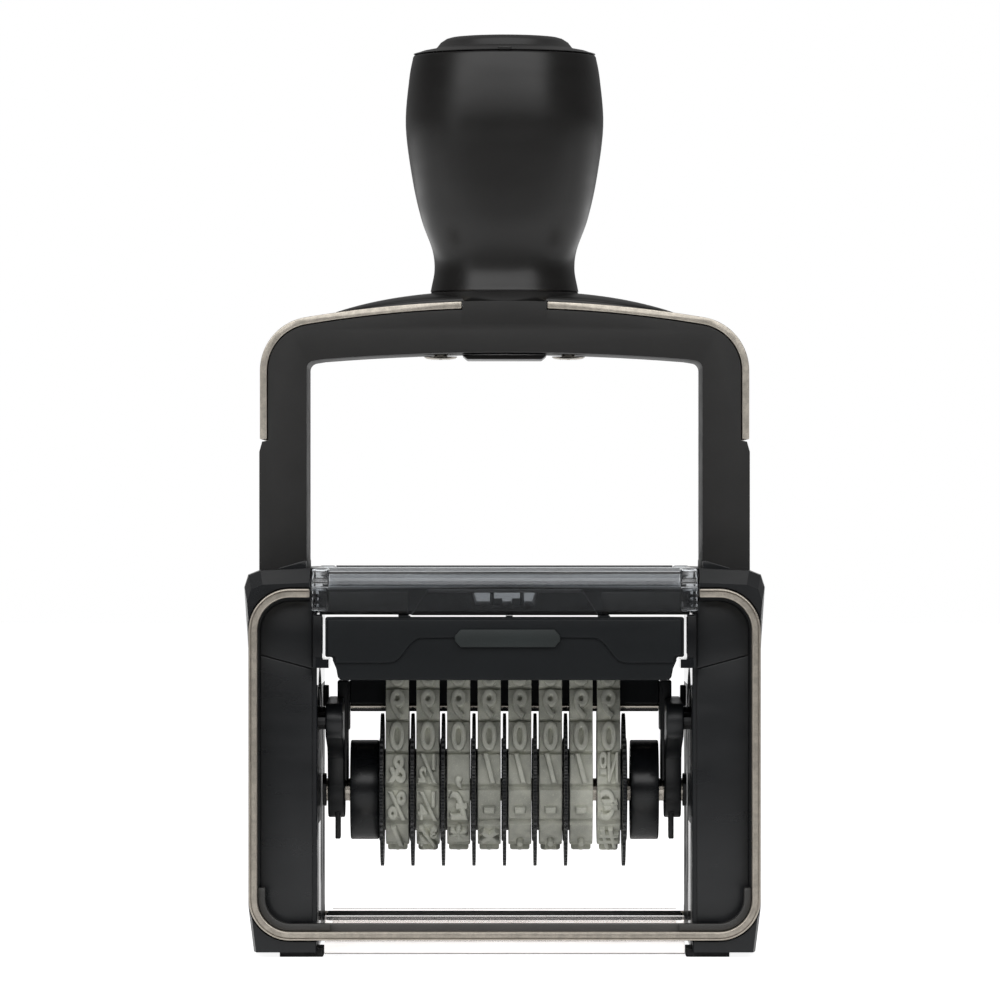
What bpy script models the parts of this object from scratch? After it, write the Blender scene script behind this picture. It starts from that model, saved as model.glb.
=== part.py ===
"""Self-inking band stamp.

A base of two hollow housings stands on the paper. A yoke with a knob slides down into the housings, and its
pivot pins carry the type carrier. Cam pins on the carrier run in curved grooves in the housings, so the
carrier turns over as the yoke goes down, from the ink pad above it to the paper below. Eight printing bands
run over eight thumb wheels and one nose bar. The ink pad sits in a drawer that pulls out to the front.

Sizes are in millimetres and become metres in mesh_object(). +Z is up, the front is at -Y, and the origin is
at the bottom centre, on the paper.
"""

import math

import bmesh
import bpy
from mathutils import Matrix, Vector

MM = 0.001
GAP = 0.3                      # clearance between neighbouring pieces
SIDES = (("left", -1), ("right", 1))
ENDS = (("front", -1), ("rear", 1))

# Base
HOUSING_IN = 32.5              # inner wall of a housing, from the centre plane
HOUSING_OUT = 44.9             # outer wall beside the arm
HOUSING_SHOULDER_OUT = 44.3    # outer wall at the front and rear shoulders
HOUSING_FRONT_OUT = 43.8       # outer wall at the front and rear faces
HOUSING_FLARE = 0.7            # how much wider the housing is just under its top
HOUSING_DEPTH = 31.5           # front face, from the centre plane
HOUSING_SHOULDER = 28.0        # where the top starts to fall towards the face
HOUSING_DROP = 2.4             # by how much it falls
HOUSING_TOP = 67.2
HOUSING_FOOT = 0.9             # underside of a housing, above the paper
RIM_OUT = 44.2                 # half width of the metal rim
RIM_TOP = 63.7
RIM_BOTTOM = 3.0
RIM_RADIUS = 7.2
RIM_WALL = 1.5
RIM_FRONT = 32.5               # front face of the rim, from the centre plane
RIM_BACK = 29.5
RIM_END = 34.0                 # where the rim's top run stops beside the top cover
PANEL_Y = 27.5                 # recessed panel inside the rim
RAIL_TOP = {"front": 5.8, "rear": 4.4}
WINDOW_TOP = {"front": 7.0, "rear": 5.2}
COVER_HALF = 33.4              # half length of a smoked top cover
COVER_BOTTOM = 59.8
COVER_TOP = 67.3
COVER_FRONT = 31.2
COVER_BACK = 23.0
BRIDGE_BOTTOM = 59.1
BRIDGE_TOP = 63.9
TONGUE_TOP = 63.5              # top of the bridge's tongue under each cover
FOOT_X = (31.4, 38.9)          # rubber foot across
FOOT_Y = (20.0, 29.4)          # rubber foot along the depth

# Yoke
ARM_IN = 34.7
ARM_OUT = 43.0
ARM_DEPTH = 13.0               # half depth of the arms and of the arch
ARM_BOTTOM = 36.0
ARCH_TOP = 114.0
ARCH_RADIUS = 212.0            # curve of the arch's crown
ARCH_SIDE = 42.9               # outer face of the shoulder strips
ARCH_CORNER = 9.5
STRIP_WALL = 1.4
STRIP_END = 89.7
STRIP_MIDDLE = 7.5             # the strips stop this far from the centre
OPENING_TOP = 105.0
OPENING_CORNER = 103.5
TRAVEL = 27.0                  # stroke of the yoke
SPRING_X = 39.5                # return spring, from the centre plane
PIN_END = 36.3                 # blind end of the pivot pin's hole
SCREW_X = 11.3                 # fixing screw, from the centre plane
KNOB_BOTTOM = 115.9
KNOB_TOP = 157.7

# Type carrier
PIVOT_Z = 40.5                 # pivot pins at rest
PIVOT_R = 2.0
CAM_ARM = 19.0                 # cam pin, from the pivot
CAM_R = 1.5
CAM_TIP = 33.4
PLATE_X = (28.2, 31.2)
PLATE_TOP = 44.2
PLATE_THICK = 27.6             # inner face of the plate's thicker part
THICK_OUT = 29.5               # outer face of the tab in which that part ends above the plate
THICK_Z = (29.6, 47.2)
AXLE_Z = 27.8
AXLE_R = 2.0
SPACER_R = 8.8
BAND_PITCH = 5.4               # from one band to the next
BAND_WIDTH = 4.07
BAND_COUNT = 8
LAST_BAND_SHIFT = 0.55         # the last band sits closer, as no disc is in between
WHEEL_R = 13.5
DISC_WALL = 0.65
HUB_R = 7.2
BLOCKS = 14                    # type blocks on a band
BAND_RADIUS = 8.75             # pitch line of a band round its wheel
NOSE_HALF = 1.9                # half width of the pitch line's flat top
NOSE_TOP = 51.9                # pitch line over the nose bar
NOSE_CORNER = 1.3
BLOCK_RISE = 1.3               # block face, outside the pitch line
BAND_BACK = 0.6                # inner face, inside the pitch line

# Ink drawer
DRAWER_HALF = 31.0             # over the side walls, which rest on the housings' ledges
DRAWER_TOP = 58.5
DRAWER_BOTTOM = 51.9           # of the front half; the rear half clears the bands
DRAWER_REAR_BOTTOM = 53.9
DRAWER_STEP = 2.0              # where the rear half starts
DRAWER_LIP = 47.9
DRAWER_LIP_HALF = 29.7         # half width of the front lip, between the ledges
DRAWER_FRONT = 31.0
DRAWER_REAR = 26.0
DRAWER_WALL = 1.2
LEDGE_IN = 30.4
LEDGE_Y = (-31.0, -16.0)
LEDGE_Z = (50.0, 51.5)
RIB_X = (31.5, 33.1)           # upright rib beside the drawer's front
HANGER_X = {"left": (-19.2, -17.3), "right": (16.9, 18.9)}      # hooks under the drawer's rear wall
HANGER_Z = (52.0, 59.5)
PAD_BOTTOM = 54.3
PAD_TOP = 57.0

PAINTS = {
    "black_plastic": ((0.012, 0.013, 0.015), 0.38, 0.0),
    "satin_black": ((0.014, 0.013, 0.013), 0.45, 0.0),
    "beige_metal": ((0.42, 0.38, 0.33), 0.38, 0.85),
    "steel": ((0.62, 0.58, 0.52), 0.25, 1.0),
    "smoke_clear": ((0.10, 0.12, 0.15), 0.08, 0.0),
    "clear": ((0.90, 0.88, 0.86), 0.05, 0.0),
    "band_rubber": ((0.28, 0.29, 0.24), 0.60, 0.0),
    "foot_rubber": ((0.03, 0.03, 0.03), 0.80, 0.0),
    "ink_felt": ((0.02, 0.02, 0.05), 0.90, 0.0),
}


# ---------------------------------------------------------------- helpers

def paint(name):
    """The Principled material of this name, made on first use."""
    found = bpy.data.materials.get(name)
    if found:
        return found
    colour, roughness, metallic = PAINTS[name]
    made = bpy.data.materials.new(name)
    made.use_nodes = True
    shader = made.node_tree.nodes["Principled BSDF"]
    shader.inputs["Base Color"].default_value = (*colour, 1.0)
    shader.inputs["Roughness"].default_value = roughness
    shader.inputs["Metallic"].default_value = metallic
    return made


def mesh_object(name, rings, closed=False, slot="black_plastic", origin=(0, 0, 0)):
    """An object whose skin joins rings of points, with flat caps. closed=True bends the tube on itself."""
    shape = bmesh.new()
    loops = [[shape.verts.new((Vector(point) - Vector(origin)) * MM) for point in ring] for ring in rings]
    pairs = list(zip(loops, loops[1:]))
    if closed:
        pairs.append((loops[-1], loops[0]))
    for first, second in pairs:
        count = max(len(first), len(second))
        for i in range(count):
            corners = []
            for vertex in (first[i % len(first)], first[(i + 1) % len(first)],
                           second[(i + 1) % len(second)], second[i % len(second)]):
                if vertex not in corners:
                    corners.append(vertex)
            shape.faces.new(corners)
    if not closed:
        for ring in (loops[0], loops[-1]):
            if len(ring) > 2:
                shape.faces.new(ring)
    bmesh.ops.recalc_face_normals(shape, faces=shape.faces)
    mesh = bpy.data.meshes.new(name)
    shape.to_mesh(mesh)
    shape.free()
    obj = bpy.data.objects.new(name, mesh)
    obj.location = Vector(origin) * MM
    obj.data.materials.append(paint(slot))
    bpy.context.scene.collection.objects.link(obj)
    return obj


def prism(name, outline, axis, low, high, **options):
    """A straight bar: an outline in the plane across the axis, from low to high along it."""
    place = {"X": lambda a, b, c: (c, a, b), "Y": lambda a, b, c: (a, c, b), "Z": lambda a, b, c: (a, b, c)}
    rings = [[place[axis](a, b, level) for a, b in outline] for level in (low, high)]
    return mesh_object(name, rings, **options)


def block(name, x, y, z, **options):
    """A box between two corners, each axis given as (low, high)."""
    return prism(name, [(x[0], y[0]), (x[1], y[0]), (x[1], y[1]), (x[0], y[1])], "Z", z[0], z[1], **options)


def turned(name, profile, axis, centre, segments=24, closed=False, **options):
    """A round piece: a profile of (radius, height) about an axis through centre. Radius 0 makes a point."""
    def point(radius, height, angle):
        a, b = radius * math.cos(angle), radius * math.sin(angle)
        offset = {"X": (height, a, b), "Z": (a, b, height)}[axis]
        return tuple(c + o for c, o in zip(centre, offset))

    rings = []
    for radius, height in profile:
        count = segments if radius > 0 else 1
        rings.append([point(radius, height, math.tau * i / segments) for i in range(count)])
    obj = mesh_object(name, rings, closed=closed, **options)
    obj.data.shade_smooth()
    obj.data.set_sharp_from_angle(angle=math.radians(35))
    return obj


def rod(name, x, y, z, radius, segments=20, **options):
    """A plain round bar along X, from x[0] to x[1]."""
    return turned(name, [(radius, x[0]), (radius, x[1])], "X", (0, y, z), segments, **options)


def tube(name, x, y, z, inner, outer, segments=24, **options):
    """A bored round bar along X."""
    profile = [(inner, x[0]), (outer, x[0]), (outer, x[1]), (inner, x[1])]
    return turned(name, profile, "X", (0, y, z), segments, closed=True, **options)


def cut(target, cutter, operation="DIFFERENCE"):
    """A Boolean of a hidden helper with the target."""
    cutter.hide_render = True
    cutter.display_type = "WIRE"
    modifier = target.modifiers.new(cutter.name, "BOOLEAN")
    modifier.operation = operation
    modifier.object = cutter


def arc(centre, radius, start, end, steps):
    """Points on an arc, from one angle to another in degrees."""
    angles = [math.radians(start + (end - start) * i / steps) for i in range(steps + 1)]
    return [(centre[0] + radius * math.cos(a), centre[1] + radius * math.sin(a)) for a in angles]


def mirrored(points, side):
    """The outline on this side of the centre plane."""
    return [(side * a, b) for a, b in points]


def smooth_through(points, steps):
    """Points on a smooth curve through the given ones."""
    ends = [points[0]] + list(points) + [points[-1]]
    result = [points[0]]
    for before, start, end, after in zip(ends, ends[1:], ends[2:], ends[3:]):
        for i in range(1, steps + 1):
            t = i / steps
            result.append(tuple(
                0.5 * (2 * s + (e - b) * t + (2 * b - 5 * s + 4 * e - a) * t * t
                       + (3 * s - b - 3 * e + a) * t ** 3)
                for b, s, e, a in zip(before, start, end, after)))
    return result


def axis_empty(name, location):
    """An empty on a joint's axis, which carries the pieces that move there."""
    empty = bpy.data.objects.new(name, None)
    empty.location = Vector(location) * MM
    bpy.context.scene.collection.objects.link(empty)
    return empty


def carry(empty, *pieces):
    """Parents the pieces to an empty, leaving them in place."""
    for piece in pieces:
        piece.parent = empty
        piece.matrix_parent_inverse = Matrix.Translation(-empty.location)


# ---------------------------------------------------------------- base

def rim_outline(inset, low=RIM_BOTTOM, high=RIM_TOP):
    """The rounded rectangle of the front opening, inset from the rim's outer edge, from the top run's right
    end round to its left end."""
    side, radius = RIM_OUT - inset, RIM_RADIUS - inset
    low, high = low + inset, high - inset
    right, left = side - radius, radius - side
    points = [(RIM_END, high)]
    points += arc((right, high - radius), radius, 90, 0, 8)
    points += arc((right, low + radius), radius, 0, -90, 8)
    points += arc((left, low + radius), radius, -90, -180, 8)
    points += arc((left, high - radius), radius, 180, 90, 8)
    return points + [(-RIM_END, high)]


def cam_point(turn):
    """(y, z) of the cam pin when the carrier has turned by this angle in radians."""
    pivot = PIVOT_Z - TRAVEL * turn / math.pi
    return -CAM_ARM * math.cos(turn), pivot + CAM_ARM * math.sin(turn)


def cam_outline(half_width, steps=18):
    """The outline of the groove in which a cam pin runs, in the plane across X."""
    centres = [Vector(cam_point(math.pi * i / steps)) for i in range(steps + 1)]
    edge = []
    for i, centre in enumerate(centres):
        along = (centres[min(i + 1, steps)] - centres[max(i - 1, 0)]).normalized()
        edge.append((centre, math.degrees(math.atan2(along.y, along.x))))
    left = [arc(centre, half_width, angle + 90, angle + 90, 1)[0] for centre, angle in edge]
    right = [arc(centre, half_width, angle - 90, angle - 90, 1)[0] for centre, angle in edge]
    end = arc(edge[-1][0], half_width, edge[-1][1] + 60, edge[-1][1] - 60, 4)
    start = arc(edge[0][0], half_width, edge[0][1] - 120, edge[0][1] - 240, 4)
    return left + end + right[::-1] + start


def slot_outline(low, high, half_width):
    """A slot with round ends, upright in the plane across X."""
    return arc((0, high), half_width, 0, 180, 8) + arc((0, low), half_width, 180, 360, 8)


def housing_ring(side, y, outer, drop):
    """One cross-section of a housing, as its outline at depth y."""
    top = HOUSING_TOP - drop
    points = [(HOUSING_IN, HOUSING_FOOT), (outer - 0.9, HOUSING_FOOT), (outer, 8.0), (outer, 53.0),
              (outer + HOUSING_FLARE, top - 3.4), (outer, top - 1.2), (outer - 2.0, top - 0.4),
              (HOUSING_IN, top)]
    return [(side * x, y, z) for x, z in points]


def housing(name, side):
    """A side housing: hollow for the arm, with a slot for the pivot pin, a cam groove for the cam pin,
    a recessed panel inside the rim at each end, and a ledge and a rib for the drawer's front half."""
    middle = ARM_DEPTH + 0.6
    sections = ((HOUSING_DEPTH, HOUSING_FRONT_OUT, HOUSING_DROP),
                (HOUSING_SHOULDER, HOUSING_SHOULDER_OUT, 0.0), (middle, HOUSING_OUT, 0.0))
    front = [housing_ring(side, -y, outer, drop) for y, outer, drop in sections]
    rear = [housing_ring(side, y, outer, drop) for y, outer, drop in reversed(sections)]
    body = mesh_object(name, front + rear)

    def across(low, high):
        return sorted((side * low, side * high))

    reach = ARM_DEPTH + GAP
    cut(body, block(name + "_arm_cutter", across(ARM_IN - GAP, ARM_OUT + GAP), (-reach, reach), (4.0, 80.0)))
    slot = slot_outline(PIVOT_Z - TRAVEL, PIVOT_Z, PIVOT_R + 0.4)
    cut(body, prism(name + "_pivot_cutter", slot, "X", *across(HOUSING_IN - 1, ARM_IN)))
    groove = cam_outline(CAM_R + 0.45)
    cut(body, prism(name + "_cam_cutter", groove, "X", *across(HOUSING_IN - 1, CAM_TIP + GAP)))
    for end, sign in ENDS:
        def depth(near, far):
            return sorted((sign * near, sign * far))
        cut(body, prism(f"{name}_{end}_rim_cutter", rim_outline(-GAP), "Y", *depth(RIM_BACK - GAP, 40)))
        panel = rim_outline(RIM_WALL + 0.2, low=RAIL_TOP["front"] - RIM_WALL - 0.2)
        cut(body, prism(f"{name}_{end}_panel_cutter", panel, "Y", *depth(PANEL_Y, 40)))
        cut(body, block(f"{name}_{end}_cover_cutter", across(HOUSING_IN - 1, COVER_HALF + GAP),
                        depth(COVER_BACK - GAP, 40), (COVER_BOTTOM - GAP, 80.0)))
        cut(body, block(f"{name}_{end}_foot_cutter", across(FOOT_X[0] - GAP, FOOT_X[1] + GAP),
                        depth(FOOT_Y[0] - GAP, FOOT_Y[1] + GAP), (-1.0, 1.9)))
    cut(body, block(name + "_ledge", across(LEDGE_IN, RIB_X[1]), LEDGE_Y, LEDGE_Z), "UNION")
    cut(body, block(name + "_rib", across(*RIB_X), (LEDGE_Y[0] + 0.01, -PANEL_Y + 1.0),
                    (LEDGE_Z[0] + 0.1, COVER_BOTTOM - GAP - 0.3)), "UNION")
    return body


def rim(name, sign):
    """A metal bezel round the opening: an open band of even width."""
    outer, inner = rim_outline(0.0), rim_outline(RIM_WALL)
    return prism(name, outer + inner[::-1], "Y", *sorted((sign * RIM_BACK, sign * RIM_FRONT)),
                 slot="beige_metal")


def rail(end, sign):
    """The cross member behind the rim's bottom run."""
    half = HOUSING_IN - GAP
    front, back = RIM_BACK - GAP, PANEL_Y + GAP
    depth = sorted((sign * back, sign * front))
    return block(f"rail_{end}", (-half, half), depth, (RIM_BOTTOM, RAIL_TOP[end]))


def window(end, sign):
    """The clear positioning strip: a lip under the rim and an upstand behind the rail."""
    half = FOOT_X[0] - GAP
    low, lip, top = 0.6, RIM_BOTTOM - GAP, WINDOW_TOP[end]
    outline = [(-31.3, low), (-26.3, low), (-26.3, top), (-27.4, top), (-27.4, lip), (-31.3, lip)]
    return prism(f"window_{end}", [(-sign * y, z) for y, z in outline], "X", -half, half, slot="clear")


def top_cover(name, sign):
    """A smoked clear cover along the top: a rounded channel, open below. Its back wall clears the tongue."""
    wall, radius = 1.1, 3.4
    front, back = COVER_FRONT, COVER_BACK

    def channel(inset):
        r = radius - inset
        points = [(-front + inset, COVER_BOTTOM)]
        points += arc((-front + radius, COVER_TOP - radius), r, 180, 90, 6)
        points += arc((-back - radius * 0.5, COVER_TOP - radius * 0.5), radius * 0.5 - inset * 0.5, 90, 0, 3)
        return points + [(-back - inset * 0.5, TONGUE_TOP + 0.5)]

    outline = channel(0.0) + channel(wall)[::-1]
    return prism(name, [(-sign * y, z) for y, z in outline], "X", -COVER_HALF, COVER_HALF,
                 slot="smoke_clear")


def top_bridge():
    """The black cross member between the housings, with a tongue under each cover, a tunnel through it and
    two hooks that hold the drawer's rear wall."""
    half = HOUSING_IN - GAP
    inner = COVER_BACK - GAP
    body = prism("top_bridge", [(-half, BRIDGE_BOTTOM), (half, BRIDGE_BOTTOM), (half, BRIDGE_TOP - 0.4),
                                (0, BRIDGE_TOP), (-half, BRIDGE_TOP - 0.4)], "Y", -inner, inner)
    tongue = [(-16.2, BRIDGE_BOTTOM), (16.2, BRIDGE_BOTTOM), (13.4, TONGUE_TOP), (-13.4, TONGUE_TOP)]
    cut(body, prism("bridge_tongue", tongue, "Y", -COVER_FRONT + 1.6, COVER_FRONT - 1.6), "UNION")
    tunnel = [(-5.0, 60.8), (5.0, 60.8), (5.7, 63.0), (-5.7, 63.0)]
    cut(body, prism("bridge_tunnel", tunnel, "Y", -40, 40))
    low, high = HANGER_Z
    near, far = DRAWER_REAR - DRAWER_WALL, DRAWER_REAR + 1.4
    hook = [(inner - 0.3, DRAWER_TOP + GAP), (far - 1.0, DRAWER_TOP + GAP), (far - 1.0, low + 1.5),
            (near, low + 1.5), (near, low), (far, low), (far, high), (inner - 0.3, high)]
    for name, x in HANGER_X.items():
        cut(body, prism("hook_" + name, hook, "X", *x), "UNION")
    return body


def make_base():
    for name, side in SIDES:
        housing(f"housing_{name}", side)
        return_spring(f"return_spring_{name}", side)
        for end, sign in ENDS:
            block(f"foot_{end}_{name}", sorted((side * FOOT_X[0], side * FOOT_X[1])),
                  sorted((sign * FOOT_Y[0], sign * FOOT_Y[1])), (0.0, 1.6), slot="foot_rubber")
    for end, sign in ENDS:
        rim(f"rim_{end}", sign)
        rail(end, sign)
        window(end, sign)
        top_cover(f"top_cover_{end}", sign)
    top_bridge()


# ---------------------------------------------------------------- ink drawer

def make_drawer():
    wall = DRAWER_HALF - DRAWER_WALL
    cassette = block("ink_cassette", (-DRAWER_HALF, DRAWER_HALF), (-DRAWER_FRONT, DRAWER_REAR),
                     (DRAWER_BOTTOM, DRAWER_TOP))
    lip = [(-DRAWER_LIP_HALF + 1.0, DRAWER_LIP), (DRAWER_LIP_HALF - 1.0, DRAWER_LIP),
           (DRAWER_LIP_HALF, DRAWER_LIP + 1.6), (DRAWER_LIP_HALF, DRAWER_TOP - 1),
           (-DRAWER_LIP_HALF, DRAWER_TOP - 1), (-DRAWER_LIP_HALF, DRAWER_LIP + 1.6)]
    cut(cassette, prism("cassette_lip", lip, "Y", -DRAWER_FRONT + 0.01, -PANEL_Y), "UNION")
    cut(cassette, block("cassette_hollow", (-wall, wall), (-PANEL_Y, DRAWER_REAR - DRAWER_WALL),
                        (40.0, PAD_TOP + GAP)))
    cut(cassette, block("cassette_step", (-40, 40), (DRAWER_STEP, 40), (40.0, DRAWER_REAR_BOTTOM)))
    pad = block("ink_pad", (-27, 27), (-21, 21), (PAD_BOTTOM, PAD_TOP), slot="ink_felt")
    carry(axis_empty("drawer_slide", (0, -DRAWER_FRONT, DRAWER_TOP)), cassette, pad)


# ---------------------------------------------------------------- yoke

def arch_outline(inset, steps=12):
    """The crown and shoulders, inset from the strips' outer face, from the right side over to the left."""
    centre_z = ARCH_TOP - ARCH_RADIUS
    crown, corner, side = ARCH_RADIUS - inset, ARCH_CORNER - inset, ARCH_SIDE - inset
    x = side - corner
    z = centre_z + math.sqrt((crown - corner) ** 2 - x ** 2)
    lean = math.degrees(math.atan2(z - centre_z, x))
    right = arc((x, z), corner, 0, lean, 7)
    points = right + arc((0, centre_z), crown, lean, 180 - lean, steps)[1:-1]
    return points + [(-a, b) for a, b in right[::-1]]


def crown_height(x):
    """Height of the strips' outer face at this distance from the centre."""
    return ARCH_TOP - ARCH_RADIUS + math.sqrt(ARCH_RADIUS ** 2 - x ** 2)


def yoke_shell():
    """The arch and its two arms in one casting. The arms are bored for the return springs."""
    inset = STRIP_WALL + GAP
    notch = STRIP_END - GAP
    outline = [(ARM_OUT, ARM_BOTTOM), (ARM_OUT, notch - 2.0), (ARCH_SIDE - inset, notch)]
    outline += arch_outline(inset)
    outline += [(-a, b) for a, b in outline[2::-1]]
    radius, sag = 1.4, OPENING_TOP - OPENING_CORNER
    inner = [(-ARM_IN, ARM_BOTTOM)] + arc((radius - ARM_IN, OPENING_CORNER - radius), radius, 180, 95, 3)
    inner += [(x, OPENING_TOP - sag * (x / ARM_IN) ** 2) for x in (-24.0, -12.0, 0.0, 12.0, 24.0)]
    inner += arc((ARM_IN - radius, OPENING_CORNER - radius), radius, 85, 0, 3) + [(ARM_IN, ARM_BOTTOM)]
    shell = prism("yoke_shell", outline + inner, "Y", -ARM_DEPTH, ARM_DEPTH, slot="satin_black")
    middle = STRIP_MIDDLE - GAP
    cap = [(-middle, 110.0), (middle, 110.0), (middle, crown_height(middle)), (0, ARCH_TOP),
           (-middle, crown_height(middle))]
    cut(shell, prism("yoke_middle", cap, "Y", -ARM_DEPTH + 0.01, ARM_DEPTH - 0.01), "UNION")
    cut(shell, turned("yoke_bolt_cutter", [(4.6, 100.0), (4.6, 108.0), (2.8, 108.1), (2.8, 120.0)], "Z",
                      (0, 0, 0), 20))
    for name, side in SIDES:
        cut(shell, turned(f"yoke_{name}_spring_cutter", [(2.9, 30.0), (2.9, 70.0)], "Z",
                          (side * SPRING_X, 0, 0), 16))
        cut(shell, rod(f"yoke_{name}_pin_cutter", sorted((side * (ARM_IN - 1), side * PIN_END)), 0, PIVOT_Z,
                       PIVOT_R + GAP, 16))
        cut(shell, turned(f"yoke_{name}_screw_cutter", [(1.5, 100.0), (1.5, 109.0)], "Z",
                          (side * SCREW_X, 0, 0), 12))
    return shell


def strip(name, side):
    """A metal strip over one shoulder, from beside the knob down to the sleeve of the arm."""
    def run(inset):
        points = [(x, z) for x, z in arch_outline(inset, 24) if x > STRIP_MIDDLE + 2]
        end = crown_height(STRIP_MIDDLE) - inset
        return [(ARCH_SIDE - inset, STRIP_END)] + points + [(STRIP_MIDDLE, end)]

    outline = mirrored(run(0.0) + run(STRIP_WALL)[::-1], side)
    return prism(name, outline, "Y", -ARM_DEPTH, ARM_DEPTH, slot="beige_metal")


def saddle():
    """A crowned pad over the arch with a round collar for the knob's foot."""
    rings = []
    for x in (-30.0, -26.0, -20.0, -13.0, -6.0, 0.0, 6.0, 13.0, 20.0, 26.0, 30.0):
        reach = abs(x) / 30.0
        half = 11.0 * math.sqrt(max(1.0 - reach ** 2.6, 0.06))
        bottom = crown_height(x) + GAP
        rise = 0.6 + 0.55 * (1.0 - reach ** 3)
        ring = [(x, half, bottom), (x, half, bottom + 0.3)]
        ring += [(x, half * c, bottom + 0.3 + rise * math.sqrt(1 - c * c))
                 for c in (0.8, 0.45, 0.0, -0.45, -0.8)]
        rings.append(ring + [(x, -half, bottom + 0.3), (x, -half, bottom)])
    pad = mesh_object("saddle", rings, slot="satin_black")
    cut(pad, turned("saddle_collar", [(13.0, 114.8), (13.0, KNOB_BOTTOM - 0.2)], "Z", (0, 0, 0), 32), "UNION")
    cut(pad, turned("saddle_cutter", [(2.8, 100.0), (2.8, 130.0)], "Z", (0, 0, 0), 20))
    return pad


def knob_outline():
    """(radius, height) of the knob's outer surface, waisted at the neck and fullest above the middle."""
    points = [(13.1, KNOB_BOTTOM), (12.4, 119.9), (12.8, 123.4), (14.7, 128.7), (16.3, 135.8),
              (17.5, 145.3), (16.9, 153.5), (16.2, KNOB_TOP)]
    return smooth_through(points, 3)


def make_yoke():
    shell = yoke_shell()
    pieces = [shell, strip("strip_left", -1), strip("strip_right", 1), saddle()]
    knob = turned("knob", knob_outline(), "Z", (0, 0, 0), 32, slot="satin_black")
    cut(knob, turned("knob_cutter", [(2.8, 110.0), (2.8, 142.0)], "Z", (0, 0, 0), 20))
    cap_profile = [(16.1, KNOB_TOP + 0.2), (14.6, 158.6), (12.0, 159.1), (11.2, 160.1), (9.3, 160.95),
                   (0, 161.1)]
    cap = turned("knob_cap", cap_profile, "Z", (0, 0, 0), 32, slot="satin_black")
    bolt = turned("knob_bolt", [(4.2, 105.3), (4.2, 107.6), (2.4, 107.7), (2.4, 141.0)], "Z", (0, 0, 0), 20,
                  slot="steel")
    plate = prism("fixing_plate", [(-7.5, 104.6), (7.5, 104.6), (6.6, 103.8), (-6.6, 103.8)], "Y", -8.0, 8.0)
    pieces += [knob, cap, bolt, plate]
    for name, side in SIDES:
        pieces.append(turned(f"fixing_screw_{name}", [(2.6, 103.9), (2.9, 104.4), (1.2, 104.5), (1.2, 108.0)],
                             "Z", (side * SCREW_X, 0, 0), 12, slot="steel"))
        pieces.append(rod(f"pivot_pin_{name}", sorted((side * 28.5, side * (PIN_END - GAP))), 0, PIVOT_Z,
                          PIVOT_R, 16, slot="steel"))
    carry(axis_empty("yoke_slide", (0, 0, ARCH_TOP)), *pieces)


def return_spring(name, side, turns=9, per_turn=8, wire=0.45, coil=2.1, low=4.3, high=69.7):
    """A coil spring from the housing's floor to the blind end of the arm's bore."""
    rings = []
    count = turns * per_turn
    for i in range(count + 1):
        angle = math.tau * i / per_turn
        height = low + wire + (high - low - 2 * wire) * i / count
        out = Vector((math.cos(angle), math.sin(angle), 0))
        centre = Vector((side * SPRING_X, 0, height)) + out * coil
        rings.append([tuple(centre + out * wire * math.cos(a) + Vector((0, 0, wire * math.sin(a))))
                      for a in (math.pi / 4, 3 * math.pi / 4, 5 * math.pi / 4, 7 * math.pi / 4)])
    return mesh_object(name, rings, slot="steel")


# ---------------------------------------------------------------- type carrier

def band_route():
    """Stretches of a band's pitch line as (kind, length, data), from the top centre towards the front."""
    corner = Vector((-NOSE_HALF, NOSE_TOP - NOSE_CORNER))
    wheel = Vector((0.0, AXLE_Z))
    gap = corner - wheel
    slope = math.acos((BAND_RADIUS - NOSE_CORNER) / gap.length)
    normal = math.atan2(gap.y, gap.x) + slope
    run = math.sqrt(gap.length ** 2 - (BAND_RADIUS - NOSE_CORNER) ** 2)
    turn = normal - math.pi / 2
    outward = Vector((math.cos(normal), math.sin(normal)))
    back = Vector((-outward.x, outward.y))
    return [
        ("line", NOSE_HALF, (Vector((0, NOSE_TOP)), Vector((-1, 0)), math.pi / 2)),
        ("arc", NOSE_CORNER * turn, (corner, NOSE_CORNER, math.pi / 2)),
        ("line", run, (corner + outward * NOSE_CORNER, Vector((-outward.y, outward.x)), normal)),
        ("arc", BAND_RADIUS * (math.tau - 2 * turn), (wheel, BAND_RADIUS, normal)),
        ("line", run, (wheel + back * BAND_RADIUS, Vector((-back.y, back.x)), math.pi - normal)),
        ("arc", NOSE_CORNER * turn, (Vector((NOSE_HALF, corner.y)), NOSE_CORNER, math.pi - normal)),
        ("line", NOSE_HALF, (Vector((NOSE_HALF, NOSE_TOP)), Vector((-1, 0)), math.pi / 2)),
    ]


def on_band(distance, route):
    """(point, outward normal) of the pitch line at this distance from the top centre."""
    for kind, length, data in route:
        if distance <= length:
            break
        distance -= length
    if kind == "line":
        start, along, angle = data
        return start + along * distance, Vector((math.cos(angle), math.sin(angle)))
    centre, radius, angle = data
    angle += distance / radius
    outward = Vector((math.cos(angle), math.sin(angle)))
    return centre + outward * radius, outward


def band_outlines():
    """A band's outer outline, three points to a block, and its inner one: flat type blocks with a narrow
    groove between them."""
    route = band_route()
    pitch = sum(length for _, length, _ in route) / BLOCKS
    joints = [on_band((k + 0.5) * pitch, route) for k in range(BLOCKS)]
    outer, inner = [], []
    for k, (point, normal) in enumerate(joints):
        following = joints[(k + 1) % BLOCKS][0]
        along = (following - point).normalized()
        up = Vector((along.y, -along.x))
        if up.dot(normal) < 0:
            up = -up
        outer.append(point + normal * (BLOCK_RISE * 0.35))
        outer.append(point + along * 0.35 + up * BLOCK_RISE)
        outer.append(following - along * 0.35 + up * BLOCK_RISE)
        inner.append(point - normal * BAND_BACK)
    return outer, inner


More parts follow.
